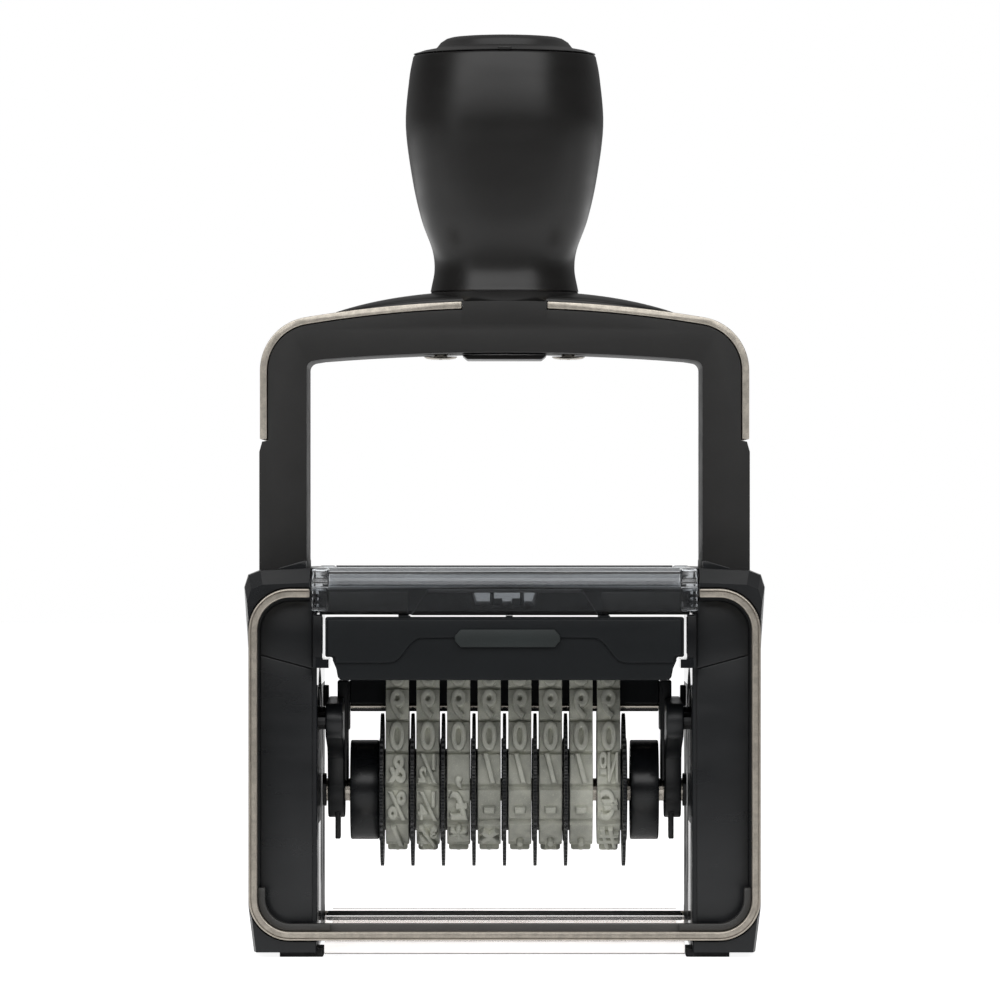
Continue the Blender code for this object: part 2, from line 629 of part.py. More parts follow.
def band_x(index):
    """Centre of a band along the axle."""
    x = (index - (BAND_COUNT - 1) / 2) * BAND_PITCH
    return x - LAST_BAND_SHIFT if index == BAND_COUNT - 1 else x


def band(index):
    """A printing band: a closed loop of rubber with a type block at each step."""
    outer, inner = band_outlines()
    x = band_x(index)
    low, high = x - BAND_WIDTH / 2, x + BAND_WIDTH / 2
    shape = bmesh.new()

    def row(points, level):
        return [shape.verts.new(Vector((level, p.x, p.y)) * MM) for p in points]

    skins = [row(outer, low), row(outer, high), row(inner, high), row(inner, low)]
    for first, second in ((skins[0], skins[1]), (skins[2], skins[3])):
        for i in range(len(first)):
            j = (i + 1) % len(first)
            shape.faces.new((first[i], first[j], second[j], second[i]))
    for face, bore in ((skins[0], skins[3]), (skins[1], skins[2])):
        for k in range(BLOCKS):
            following = (k + 1) % BLOCKS
            shape.faces.new((face[3 * k], face[3 * k + 1], face[3 * k + 2], face[3 * following],
                             bore[following], bore[k]))
    bmesh.ops.recalc_face_normals(shape, faces=shape.faces)
    mesh = bpy.data.meshes.new(f"band_{index + 1}")
    shape.to_mesh(mesh)
    shape.free()
    obj = bpy.data.objects.new(mesh.name, mesh)
    obj.data.materials.append(paint("band_rubber"))
    bpy.context.scene.collection.objects.link(obj)
    return obj


def wheel(index):
    """A thumb wheel: a thin disc beside the band and a hub inside it, free to turn on the axle."""
    last = index == BAND_COUNT - 1
    facing = -1 if last else 1
    x = band_x(index)
    outside = -facing * (BAND_PITCH / 2 + DISC_WALL / 2)
    inside = -facing * (BAND_PITCH / 2 - DISC_WALL / 2)
    tip = facing * (BAND_WIDTH / 2)
    bore = AXLE_R + GAP
    profile = [(bore, outside), (WHEEL_R, outside), (WHEEL_R, inside), (HUB_R, inside), (HUB_R, tip),
               (bore, tip)]
    origin = (x, 0, AXLE_Z)
    return turned(f"wheel_{index + 1}", profile, "X", origin, 36, closed=True, origin=origin)


def carrier_plate(name, side):
    """A side plate that holds the axle and the nose bar, with a lever to the cam pin."""
    lever = (-CAM_ARM, PIVOT_Z)
    outline = [(5.5, PLATE_TOP), (-5.5, PLATE_TOP)] + arc(lever, 3.1, 85, 265, 6) + [(-7.0, 33.0)]
    outline += arc((0, AXLE_Z), 4.9, 165, 375, 14) + [(5.5, 33.0)]
    x = sorted((side * PLATE_X[0], side * PLATE_X[1]))
    plate = prism(name, outline, "X", *x)
    cut(plate, block(name + "_thick", sorted((side * PLATE_THICK, side * THICK_OUT)), (-4.0, 4.0), THICK_Z),
        "UNION")
    cut(plate, block(name + "_prong", sorted((side * 29.0, side * 29.9)), (-3.0, 3.0), (19.2, 27.0)), "UNION")
    for hole, y, z, radius in (("pivot", 0, PIVOT_Z, PIVOT_R + GAP), ("axle", 0, AXLE_Z, AXLE_R + GAP),
                               ("cam", *lever, CAM_R + GAP)):
        cut(plate, rod(f"{name}_{hole}_cutter", (x[0] - 1, x[1] + 1), y, z, radius, 16))
    return plate


def nose_bar():
    """The bar inside the bands' upper ends, with a lip behind the guide rod."""
    half = PLATE_THICK - GAP
    outline = [(-1.5, 50.1), (1.5, 50.1), (2.1, 49.4), (3.4, 43.2), (3.0, 41.6), (1.2, 41.6), (1.0, 43.2),
               (-3.4, 43.2), (-2.1, 49.4)]
    return prism("nose_bar", outline, "X", -half, half)


def make_carrier():
    centre = axis_empty("carrier_pivot", (0, 0, PIVOT_Z))
    inner = PLATE_THICK - GAP
    pieces = [nose_bar(), rod("guide_rod", (-inner, inner), -0.6, 42.55, 0.4, 10, slot="steel"),
              rod("wheel_axle", (-32.1, 32.1), 0, AXLE_Z, AXLE_R, 20, slot="steel")]
    for name, side in SIDES:
        pieces.append(carrier_plate(f"carrier_plate_{name}", side))
        pieces.append(rod(f"cam_pin_{name}", sorted((side * 28.5, side * CAM_TIP)), -CAM_ARM, PIVOT_Z, CAM_R,
                          14, slot="steel"))
        pieces.append(tube(f"axle_clip_{name}", sorted((side * 31.5, side * 32.2)), 0, AXLE_Z, AXLE_R + GAP,
                           2.9, 16, slot="steel"))
        pieces.append(tube(f"spacer_{name}", sorted((side * 22.2, side * 27.2)), 0, AXLE_Z, AXLE_R + GAP,
                           SPACER_R, 28))
    for index in range(BAND_COUNT):
        pieces += [band(index), wheel(index)]
    carry(centre, *pieces)


def main():
    for obj in list(bpy.data.objects):
        bpy.data.objects.remove(obj)
    make_base()
    make_drawer()
    make_yoke()
    make_carrier()


main()
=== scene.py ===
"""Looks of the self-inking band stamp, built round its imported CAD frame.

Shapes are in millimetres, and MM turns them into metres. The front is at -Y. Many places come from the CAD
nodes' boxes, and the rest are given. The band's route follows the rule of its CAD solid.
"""

import math
from functools import lru_cache

import bmesh
import bpy
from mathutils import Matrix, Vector


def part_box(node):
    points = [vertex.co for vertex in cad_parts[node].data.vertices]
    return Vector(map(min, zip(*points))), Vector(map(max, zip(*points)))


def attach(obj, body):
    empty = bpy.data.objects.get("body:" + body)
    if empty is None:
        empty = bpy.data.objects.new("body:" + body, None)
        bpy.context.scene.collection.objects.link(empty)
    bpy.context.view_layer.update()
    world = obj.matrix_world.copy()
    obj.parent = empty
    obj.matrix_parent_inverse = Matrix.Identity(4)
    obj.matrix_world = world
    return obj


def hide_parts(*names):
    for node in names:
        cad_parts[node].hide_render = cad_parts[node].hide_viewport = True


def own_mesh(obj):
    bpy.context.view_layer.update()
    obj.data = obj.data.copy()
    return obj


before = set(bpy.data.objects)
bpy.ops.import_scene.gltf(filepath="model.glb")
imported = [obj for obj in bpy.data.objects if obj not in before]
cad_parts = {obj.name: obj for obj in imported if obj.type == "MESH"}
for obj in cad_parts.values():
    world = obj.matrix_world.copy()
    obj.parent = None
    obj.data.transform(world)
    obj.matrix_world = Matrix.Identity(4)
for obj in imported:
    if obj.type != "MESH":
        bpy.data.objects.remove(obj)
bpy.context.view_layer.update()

MM = 0.001
SIDES = (("left", -1), ("right", 1))
ENDS = (("front", -1), ("rear", 1))


def pair(sign, first, second):
    """Two distances taken to one side, lowest first."""
    return sorted((sign * first, sign * second))


@lru_cache(maxsize=None)
def span(node):
    """A CAD node's lowest and highest corner, in millimetres."""
    low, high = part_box(node)
    return low / MM, high / MM


# -------- driving dimensions, from the frame

RIM_LOW, RIM_HIGH = span("rim_front")
SHELL_LOW, SHELL_HIGH = span("yoke_shell")
STRIP_LOW, STRIP_HIGH = span("strip_right")
KNOB_LOW, KNOB_HIGH = span("knob")
CAP_LOW, CAP_HIGH = span("knob_cap")
COVER_HIGH = span("top_cover_front")[1]
BRIDGE_HIGH = span("top_bridge")[1]
DRAWER_LOW, DRAWER_HIGH = span("ink_cassette")
PAD_HIGH = span("ink_pad")[1]
AXLE_LOW, AXLE_HIGH = span("wheel_axle")
BAND_LOW, BAND_HIGH = span("band_1")
PLATE_LOW, PLATE_HIGH = span("carrier_plate_right")

BRIDGE_FLOOR = 59.1   # underside of the top bridge's body, above its hooks
BAND_COUNT = 8
AXLE_Z = (AXLE_LOW.z + AXLE_HIGH.z) / 2
AXLE_R = (AXLE_HIGH.z - AXLE_LOW.z) / 2
AXLE_BORE = AXLE_R + 0.15
PIVOT_Z = sum(corner.z for corner in span("pivot_pin_right")) / 2
CAM_ARM = -sum(corner.y for corner in span("cam_pin_right")) / 2
BAND_WIDTH = BAND_HIGH.x - BAND_LOW.x
BAND_PITCH = 5.4      # from one band to the next
WHEEL_R = 13.5        # a thumb wheel's toothed disc
DISC_WALL = 0.65
HUB_R = 7.2           # the part of a thumb wheel inside its band
BLOCKS = 14           # type blocks on a band
BLOCK_RISE = 1.3      # a block's face above the band's pitch line
BAND_BACK = 0.6       # the band's back below its pitch line
BAND_RADIUS = 8.75    # of the pitch line round the wheel
NOSE_TOP = BAND_HIGH.z - BLOCK_RISE
NOSE_HALF = 1.9       # half of the flat run over the nose bar
NOSE_CORNER = 1.3
ARCH_RADIUS = 212.0   # of the yoke's crown
ARCH_CORNER = 9.5
ARM_IN = 34.7         # the yoke arms' inner faces, from the centre plane
SPRING_BORE = 2.9     # radius of the arms' bores for the springs
STRIP_WALL = 1.25
RIM_WALL = 1.5
RIM_RADIUS = 7.2      # of the rim's outer corners
PANEL_FACE = 27.5     # the housings' recessed faces, from the centre plane
PANEL_IN = 33.3       # inner edge of the relief on those faces
WELD = 0.002          # points closer than this become one


# -------- materials

class Nodes:
    """A new material with its Principled shader, and short ways to add nodes to it."""

    def __init__(self, name):
        self.material = bpy.data.materials.new(name)
        self.material.use_nodes = True
        self.tree = self.material.node_tree
        self.shader = self.tree.nodes["Principled BSDF"]
        self.place = self.tree.nodes.new("ShaderNodeTexCoord").outputs["Object"]

    def add(self, kind, links=(), **values):
        """A node of this kind: links are (input, socket) pairs, and values set its properties."""
        node = self.tree.nodes.new(kind)
        for key, value in values.items():
            setattr(node, key, value)
        for target, source in links:
            self.join(source, node.inputs[target])
        return node

    def join(self, source, target):
        """Links a socket, or sets a plain value."""
        if isinstance(source, bpy.types.NodeSocket):
            self.tree.links.new(source, target)
        else:
            target.default_value = source

    def noise(self, scale, detail=3.0, stretch=None):
        """Noise over the object in metres, stretched along the axes where asked."""
        place = self.place
        if stretch:
            place = self.add("ShaderNodeMapping", [("Vector", place), ("Scale", stretch)]).outputs[0]
        return self.add("ShaderNodeTexNoise",
                        [("Vector", place), ("Scale", scale), ("Detail", detail)]).outputs["Fac"]

    def math(self, operation, first, second):
        return self.add("ShaderNodeMath", [(0, first), (1, second)], operation=operation).outputs[0]

    def axes(self):
        """The place's X, Y and Z, in metres."""
        return self.add("ShaderNodeSeparateXYZ", [(0, self.place)]).outputs

    def span(self, value, low=0.0, high=1.0, start=0.35, end=0.65):
        """A value rescaled from start..end to low..high, and clamped."""
        return self.add("ShaderNodeMapRange", [("Value", value), ("From Min", start), ("From Max", end),
                                               ("To Min", low), ("To Max", high)]).outputs[0]

    def blend(self, factor, first, second):
        """A colour between two others."""
        node = self.add("ShaderNodeMix", data_type="RGBA")
        self.join(factor, node.inputs["Factor"])
        self.join(first, node.inputs[6])
        self.join(second, node.inputs[7])
        return node.outputs[2]

    def bump(self, height, distance, strength=1.0, under=None):
        """A bump in metres, over another one where given."""
        links = [("Height", height), ("Distance", distance), ("Strength", strength)]
        if under:
            links.append(("Normal", under))
        return self.add("ShaderNodeBump", links).outputs[0]

    def shade(self, **inputs):
        """Sets or links the Principled shader's inputs, named with underscores."""
        for key, value in inputs.items():
            self.join(value, self.shader.inputs[key.replace("_", " ")])
        return self.material


def tone(colour, factor):
    """A colour made lighter or darker, as RGBA."""
    return (*(min(1.0, c * factor) for c in colour), 1.0)


def plastic_nodes(name, colour, roughness, grain=5200, depth=0.00001, specular=0.5):
    """Moulded plastic: spark-eroded grain, faint flow marks, pale specks and uneven gloss."""
    n = Nodes(name)
    cloud = n.noise(160, 4.0)
    flow = n.noise(60, 2.0, (1.0, 1.0, 4.0))
    fine = n.noise(grain, 2.0)
    tint = n.blend(n.span(cloud), tone(colour, 0.93), tone(colour, 1.08))
    speck = n.span(n.noise(grain * 0.6, 1.0), 0.0, 0.30, 0.6, 0.72)
    tint = n.blend(speck, tint, tone(colour, 1.5))
    gloss = n.span(flow, roughness - 0.03, roughness + 0.04)
    n.shade(Base_Color=tint, Roughness=gloss, Specular_IOR_Level=specular, Normal=n.bump(fine, depth, 0.6))
    return n


def moulded_plastic(*settings):
    return plastic_nodes(*settings).material


def housing_plastic(name):
    """The housings' glossy plastic. Their inner walls are dull, apart from a polished patch low down in front
    and the polished part above the carrier."""
    n = plastic_nodes(name, (0.0115, 0.0125, 0.0140), 0.30, 4200, 0.0000015)
    wall, patch_front, patch_back = 32.65 * MM, -16.0 * MM, -1.0 * MM
    patch_top, carrier_top = 22.5 * MM, 46.4 * MM
    x, y, z = n.axes()
    inside = n.math("LESS_THAN", n.math("ABSOLUTE", x, 0.0), wall)
    patch = n.math("MULTIPLY", n.math("LESS_THAN", y, patch_back), n.math("LESS_THAN", z, patch_top))
    patch = n.math("MULTIPLY", patch, n.math("GREATER_THAN", y, patch_front))
    polished = n.math("ADD", patch, n.math("GREATER_THAN", z, carrier_top))
    dull = n.math("MULTIPLY", inside, n.math("SUBTRACT", 1.0, polished))
    smooth = n.math("SUBTRACT", 1.0, n.math("MULTIPLY", n.math("MULTIPLY", inside, polished), 0.8))
    gloss = n.shader.inputs["Roughness"].links[0].from_socket
    return n.shade(Specular_IOR_Level=n.math("SUBTRACT", 0.5, n.math("MULTIPLY", dull, 0.49)),
                   Roughness=n.math("MULTIPLY", gloss, smooth))


def brushed_metal(name, colour, roughness, stretch, grain=1500, metallic=1.0):
    """Metal brushed along one axis, with fine scratches and duller patches."""
    n = Nodes(name)
    lines = n.noise(grain, 3.0, stretch)
    cloud = n.noise(220, 3.0)
    specks = n.noise(4200, 2.0)
    tint = n.blend(n.span(lines), tone(colour, 0.86), tone(colour, 1.10))
    tint = n.blend(n.span(specks, 0.0, 0.35, 0.5, 0.72), tint, tone(colour, 0.6))
    gloss = n.span(cloud, roughness - 0.03, roughness + 0.05)
    return n.shade(Base_Color=tint, Roughness=gloss, Metallic=metallic,
                   Normal=n.bump(lines, 0.000006, 0.5, n.bump(specks, 0.000006, 0.5)))


def band_rubber(name):
    """Matte grey-green type rubber: dusty, slightly darker where ink has stained it."""
    n = Nodes(name)
    pale, grey = (0.72, 0.725, 0.635), (0.55, 0.56, 0.49)
    cloud = n.noise(420, 4.0)
    stain = n.noise(130, 3.0, (1.0, 1.0, 0.6))
    dust = n.noise(5200, 2.0)
    tint = n.blend(n.span(cloud), tone(grey, 1.0), tone(pale, 1.0))
    tint = n.blend(n.span(stain, 0.0, 0.55, 0.5, 0.68), tint, tone(grey, 0.72))
    tint = n.blend(n.span(dust, 0.0, 0.4, 0.58, 0.7), tint, tone(pale, 1.35))
    return n.shade(Base_Color=tint, Roughness=n.span(cloud, 0.50, 0.66), Specular_IOR_Level=0.38,
                   Sheen_Weight=0.12, Normal=n.bump(dust, 0.000012, 0.6, n.bump(cloud, 0.00003, 0.4)))


def soft_rubber(name):
    """Black rubber of the feet, with a coarse matte skin."""
    n = Nodes(name)
    cloud, pores = n.noise(300, 3.0), n.noise(3000, 3.0)
    tint = n.blend(n.span(cloud), tone((0.018, 0.018, 0.019), 0.8), tone((0.03, 0.03, 0.031), 1.1))
    return n.shade(Base_Color=tint, Roughness=n.span(pores, 0.68, 0.86), Specular_IOR_Level=0.35,
                   Normal=n.bump(pores, 0.00004, 0.7))


def ink_felt(name):
    """Felt soaked with blue-black ink."""
    n = Nodes(name)
    fibres = n.noise(2600, 5.0, (1.0, 2.2, 1.0))
    damp = n.noise(180, 3.0)
    tint = n.blend(n.span(damp), tone((0.006, 0.007, 0.020), 1.0), tone((0.016, 0.018, 0.040), 1.0))
    return n.shade(Base_Color=tint, Roughness=n.span(damp, 0.45, 0.85), Sheen_Weight=0.2,
                   Normal=n.bump(fibres, 0.00012, 0.8))


def clear_plastic(name, colour, roughness, ripple=1.0):
    """Injection-moulded clear plastic, with faint flow lines in its skin."""
    n = Nodes(name)
    flow = n.noise(240, 2.0, (0.5, 1.0, 2.5))
    dust = n.noise(3800, 2.0)
    tint = n.blend(n.span(flow), tone(colour, 0.93), tone(colour, 1.04))
    gloss = n.span(dust, roughness, roughness + 0.10, 0.58, 0.72)
    return n.shade(Base_Color=tint, Roughness=gloss, Transmission_Weight=1.0, IOR=1.49,
                   Normal=n.bump(flow, 0.00001 * ripple, 0.15))


LOOKS = {name: make(name, *settings) for make, name, *settings in (
    (moulded_plastic, "black_plastic", (0.0115, 0.0128, 0.0145), 0.36),
    (housing_plastic, "housing_black"),
    (moulded_plastic, "liner_grey", (0.050, 0.049, 0.047), 0.42),
    # a darker copy of black_plastic: painted shade on faces in recesses beside the drawer and under the
    # smoked bars
    (moulded_plastic, "deep_black", (0.0040, 0.0045, 0.0055), 0.35, 5200, 0.00001, 0.3),
    (moulded_plastic, "rail_grey", (0.085, 0.082, 0.080), 0.42),
    (moulded_plastic, "grip_grey", (0.017, 0.022, 0.022), 0.5, 3600, 0.00002, 0.4),
    (moulded_plastic, "gloss_black", (0.0095, 0.0108, 0.0125), 0.26, 3200, 0.000004),
    (moulded_plastic, "grained_black", (0.0062, 0.0078, 0.0092), 0.5, 3600, 0.00002, 0.25),
    (moulded_plastic, "satin_black", (0.0140, 0.0134, 0.0130), 0.31, 5200, 0.000004, 0.5),
    (moulded_plastic, "cast_black", (0.0150, 0.0145, 0.0140), 0.50, 5200, 0.000004, 0.5),
    (brushed_metal, "beige_metal", (0.56, 0.51, 0.44), 0.36, (1.0, 14.0, 1.0), 900, 0.85),
    (brushed_metal, "steel", (0.66, 0.61, 0.54), 0.20, (0.12, 1.0, 1.0)),
    # a lighter copy of beige_metal for the yoke's strips: painted highlight where the top light falls on them
    (brushed_metal, "bright_metal", (0.74, 0.68, 0.59), 0.36, (1.0, 14.0, 1.0), 900, 0.85),
    (brushed_metal, "black_steel", (0.045, 0.045, 0.046), 0.34, (0.12, 1.0, 1.0)),
    (clear_plastic, "smoke_plastic", (0.44, 0.455, 0.47), 0.04),
    (clear_plastic, "clear_plastic", (0.97, 0.93, 0.91), 0.02, 0.2),
    (band_rubber, "band_rubber"),
    (soft_rubber, "foot_rubber"),
    (ink_felt, "ink_felt"),
)}
SLOT_OF = {"cast_black": "satin_black", "bright_metal": "beige_metal", "black_steel": "steel"}
SLOT_OF |= dict.fromkeys(("gloss_black", "grained_black", "grip_grey", "housing_black", "liner_grey",
                          "rail_grey", "deep_black"), "black_plastic")


# -------- mesh helpers

def new_object(name, data):
    """An object that is in the scene."""
    obj = bpy.data.objects.new(name, data)
    bpy.context.scene.collection.objects.link(obj)
    return obj


def to_object(name, shape):
    """A mesh object from a bmesh whose faces point out."""
    bmesh.ops.recalc_face_normals(shape, faces=shape.faces)
    mesh = bpy.data.meshes.new(name)
    shape.to_mesh(mesh)
    shape.free()
    return new_object(name, mesh)


def add_rings(shape, rings, closed=False):
    """Adds a skin that joins rings of points in millimetres, with flat caps unless it is closed on itself."""
    loops = [[shape.verts.new(Vector(point) * MM) for point in ring] for ring in rings]
    pairs = list(zip(loops, loops[1:]))
    if closed:
        pairs.append((loops[-1], loops[0]))
    for first, second in pairs:
        count = max(len(first), len(second))
        for i in range(count):
            corners = []
            for vertex in (first[i % len(first)], first[(i + 1) % len(first)],
                           second[(i + 1) % len(second)], second[i % len(second)]):
                if vertex not in corners:
                    corners.append(vertex)
            shape.faces.new(corners)
    if not closed:
        for ring in (loops[0], loops[-1]):
            if len(ring) > 2:
                shape.faces.new(ring)


def skin(name, rings, closed=False):
    shape = bmesh.new()
    add_rings(shape, rings, closed)
    return to_object(name, shape)


def prism(name, outline, axis, low, high):
    """A straight bar: an outline in the plane across the axis, from low to high along it."""
    place = {"X": lambda a, b, c: (c, a, b), "Y": lambda a, b, c: (a, c, b), "Z": lambda a, b, c: (a, b, c)}
    return skin(name, [[place[axis](a, b, level) for a, b in outline] for level in (low, high)])


def block(name, x, y, z):
    return prism(name, [(x[0], y[0]), (x[1], y[0]), (x[1], y[1]), (x[0], y[1])], "Z", z[0], z[1])


def turned_rings(profile, axis, centre, segments, lobes=None):
    """Rings of a round piece. lobes(i, radius) may change the radius at point i of a ring, as teeth do."""
    rings = []
    for radius, height in profile:
        ring = []
        for i in range(segments if radius > 0 else 1):
            angle = math.tau * i / segments
            r = lobes(i, radius) if lobes else radius
            a, b = r * math.cos(angle), r * math.sin(angle)
            offset = {"X": (height, a, b), "Z": (a, b, height)}[axis]
            ring.append(tuple(c + o for c, o in zip(centre, offset)))
        rings.append(ring)
    return rings


def turned(name, profile, axis, centre, segments, closed=False):
    return skin(name, turned_rings(profile, axis, centre, segments), closed)


def arc(centre, radius, start, end, steps):
    """Points on an arc, from one angle to another in degrees."""
    angles = [math.radians(start + (end - start) * i / steps) for i in range(steps + 1)]
    return [(centre[0] + radius * math.cos(a), centre[1] + radius * math.sin(a)) for a in angles]


def smooth_through(points, steps):
    """Points on a smooth curve through the given ones."""
    ends = [points[0]] + list(points) + [points[-1]]
    result = [points[0]]
    for before, start, end, after in zip(ends, ends[1:], ends[2:], ends[3:]):
        for i in range(1, steps + 1):
            t = i / steps
            result.append(tuple(
                0.5 * (2 * s + (e - b) * t + (2 * b - 5 * s + 4 * e - a) * t * t
                       + (3 * s - b - 3 * e + a) * t ** 3)
                for b, s, e, a in zip(before, start, end, after)))
    return result


def settle(obj, *helpers):
    """Applies an object's modifiers to its mesh and removes the helpers that they used."""
    graph = bpy.context.evaluated_depsgraph_get()
    mesh = bpy.data.meshes.new_from_object(obj.evaluated_get(graph))
    obj.modifiers.clear()
    obj.data = mesh
    for helper in helpers:
        bpy.data.objects.remove(helper)


def carve(obj, *cutters, operation="DIFFERENCE"):
    """Cuts the helpers from an object, or joins them to it, and removes them."""
    for cutter in cutters:
        modifier = obj.modifiers.new("carve", "BOOLEAN")
        modifier.operation = operation
        modifier.object = cutter
    settle(obj, *cutters)


def add_rounding(obj, width, segments, angle):
    """Modifiers that round the edges sharper than an angle in degrees."""
    weld = obj.modifiers.new("weld", "WELD")
    weld.merge_threshold = WELD * MM
    bevel = obj.modifiers.new("round", "BEVEL")
    bevel.width = width * MM
    bevel.segments = segments
    bevel.limit_method = "ANGLE"
    bevel.angle_limit = math.radians(angle)


def soften(obj, width, segments=3):
    """Rounds an object's sharp edges and shades it smooth."""
    if width:
        add_rounding(obj, width, segments, 30)
        settle(obj)
    obj.data.shade_smooth()
    obj.data.set_sharp_from_angle(angle=math.radians(40))


def paint(obj, look):
    obj.data.materials.clear()
    obj.data.materials.append(LOOKS[look])


def dress(obj, look, body, *nodes, width=0.0, segments=2):
    """Rounds a new piece, paints it, makes it ride its body, and puts it in place of CAD nodes."""
    soften(obj, width, segments)
    paint(obj, look)
    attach(obj, body)
    if nodes:
        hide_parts(*nodes)


def repaint(node, look, width):
    """Keeps a CAD node's shape, with finely rounded edges and a detailed material."""
    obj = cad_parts[node]
    add_rounding(obj, width, 2, 32)
    obj.data.shade_flat()
    paint(obj, look)


# -------- type carrier

def band_route():
    """Stretches of a band's pitch line as (kind, length, data), from the top centre towards the front."""
    corner = Vector((-NOSE_HALF, NOSE_TOP - NOSE_CORNER))
    hub = Vector((0.0, AXLE_Z))
    gap = corner - hub
    slope = math.acos((BAND_RADIUS - NOSE_CORNER) / gap.length)
    normal = math.atan2(gap.y, gap.x) + slope
    run = math.sqrt(gap.length ** 2 - (BAND_RADIUS - NOSE_CORNER) ** 2)
    turn = normal - math.pi / 2
    outward = Vector((math.cos(normal), math.sin(normal)))
    back = Vector((-outward.x, outward.y))
    return [
        ("line", NOSE_HALF, (Vector((0, NOSE_TOP)), Vector((-1, 0)), math.pi / 2)),
        ("arc", NOSE_CORNER * turn, (corner, NOSE_CORNER, math.pi / 2)),
        ("line", run, (corner + outward * NOSE_CORNER, Vector((-outward.y, outward.x)), normal)),
        ("arc", BAND_RADIUS * (math.tau - 2 * turn), (hub, BAND_RADIUS, normal)),
        ("line", run, (hub + back * BAND_RADIUS, Vector((-back.y, back.x)), math.pi - normal)),
        ("arc", NOSE_CORNER * turn, (Vector((NOSE_HALF, corner.y)), NOSE_CORNER, math.pi - normal)),
        ("line", NOSE_HALF, (Vector((NOSE_HALF, NOSE_TOP)), Vector((-1, 0)), math.pi / 2)),
    ]


def on_band(distance, route):
    """(point, outward normal) of the pitch line at this distance from the top centre."""
    for kind, length, data in route:
        if distance <= length:
            break
        distance -= length
    if kind == "line":
        start, along, angle = data
        return start + along * distance, Vector((math.cos(angle), math.sin(angle)))
    centre, radius, angle = data
    angle += distance / radius
    outward = Vector((math.cos(angle), math.sin(angle)))
    return centre + outward * radius, outward


ROUTE = band_route()
BLOCK_PITCH = sum(length for _, length, _ in ROUTE) / BLOCKS
JOINTS = [on_band((k + 0.5) * BLOCK_PITCH, ROUTE) for k in range(BLOCKS)]


def block_frame(k):
    """(start, end, along, up) of type block k, in the plane across X."""
    point, normal = JOINTS[k]
    following = JOINTS[(k + 1) % BLOCKS][0]
    along = (following - point).normalized()
    up = Vector((along.y, -along.x))
    if up.dot(normal) < 0:
        up = -up
    return point, following, along, up


def band_x(index):
    low, high = span(f"band_{index + 1}")
    return (low.x + high.x) / 2


NUMERALS = "0123456789"
SIGNS = ("&%/+", "½¼¾×", ",£*+", "/-×+", "/-.+", "/-.×", "/-.+", "№€#*")
FRONT_BLOCK = 2       # the block that shows 0 on the front


def sign_on(index, k):
    """The character on block k of a band: from 0 down the front come the signs and then 1 to 9."""
    ring = NUMERALS[0] + SIGNS[index] + NUMERALS[1:]
    return ring[(k - FRONT_BLOCK) % BLOCKS]


@lru_cache(maxsize=None)
def relief(character):
    """Raised type as points and faces: sloped flanks, lying in XY with its top at +Z."""
    curve = bpy.data.curves.new("type", "FONT")
    curve.body = character
    curve.resolution_u = 5
    curve.extrude = 0.05
    curve.bevel_depth = 0.055
    curve.bevel_resolution = 1
    curve.offset = -0.012
    obj = new_object("type", curve)
    graph = bpy.context.evaluated_depsgraph_get()
    mesh = bpy.data.meshes.new_from_object(obj.evaluated_get(graph))
    bpy.data.objects.remove(obj)
    points = [vertex.co.copy() for vertex in mesh.vertices]
    faces = [list(polygon.vertices) for polygon in mesh.polygons]
    bpy.data.meshes.remove(mesh)
    return points, faces


CAP_HEIGHT = 0.69     # of the built-in typeface, in its own units
FLANK_HEIGHT = 0.14   # of its relief, in the same units
NARROW = 0.45         # a sign no wider than this keeps its own proportions
NARROW_SCALE = 0.88
TYPE_HEIGHT = 4.75
TYPE_WIDTH = 3.5
NUMERAL_WIDTH = 2.75
RELIEF = 1.05         # height of the type above its block
TYPE_ROOT = -0.25     # how deep the type goes into its block


def add_type(shape, character, index, k):
    """Sets a mirrored character on block k of a band."""
    points, faces = relief(character)
    xs = [point.x for point in points]
    middle, width = (min(xs) + max(xs)) / 2, max(xs) - min(xs)
    scale = TYPE_HEIGHT / CAP_HEIGHT
    squeeze = min(scale, TYPE_WIDTH / width) if width > NARROW else scale * NARROW_SCALE
    if width > NARROW and character in NUMERALS:
        squeeze = min(squeeze, NUMERAL_WIDTH / width)
    start, end, along, up = block_frame(k)
    centre = (start + end) / 2 + up * BLOCK_RISE
    top = max(point.z for point in points)
    depth = RELIEF / FLANK_HEIGHT
    corners = []
    for point in points:
        across = -(point.x - middle) * squeeze
        height = (point.y - CAP_HEIGHT / 2) * scale
        rise = RELIEF + (point.z - top) * depth
        spot = centre - along * height + up * max(rise, TYPE_ROOT)
        corners.append(shape.verts.new(Vector((band_x(index) + across, spot.x, spot.y)) * MM))
    for face in faces:
        shape.faces.new([corners[i] for i in face])


GROOVE_RISE = 0.35    # of a groove's bottom, as a share of the block's rise
BLOCK_EDGE = ((0.16, 0.62), (0.30, 0.93), (0.48, 1.0))   # distance from the groove, share of the rise
SECTIONS = 1 + 2 * len(BLOCK_EDGE)      # points on the outside of each block
EDGE_ROUND, EDGE_DROP = 0.12, 0.14      # at the band's sides


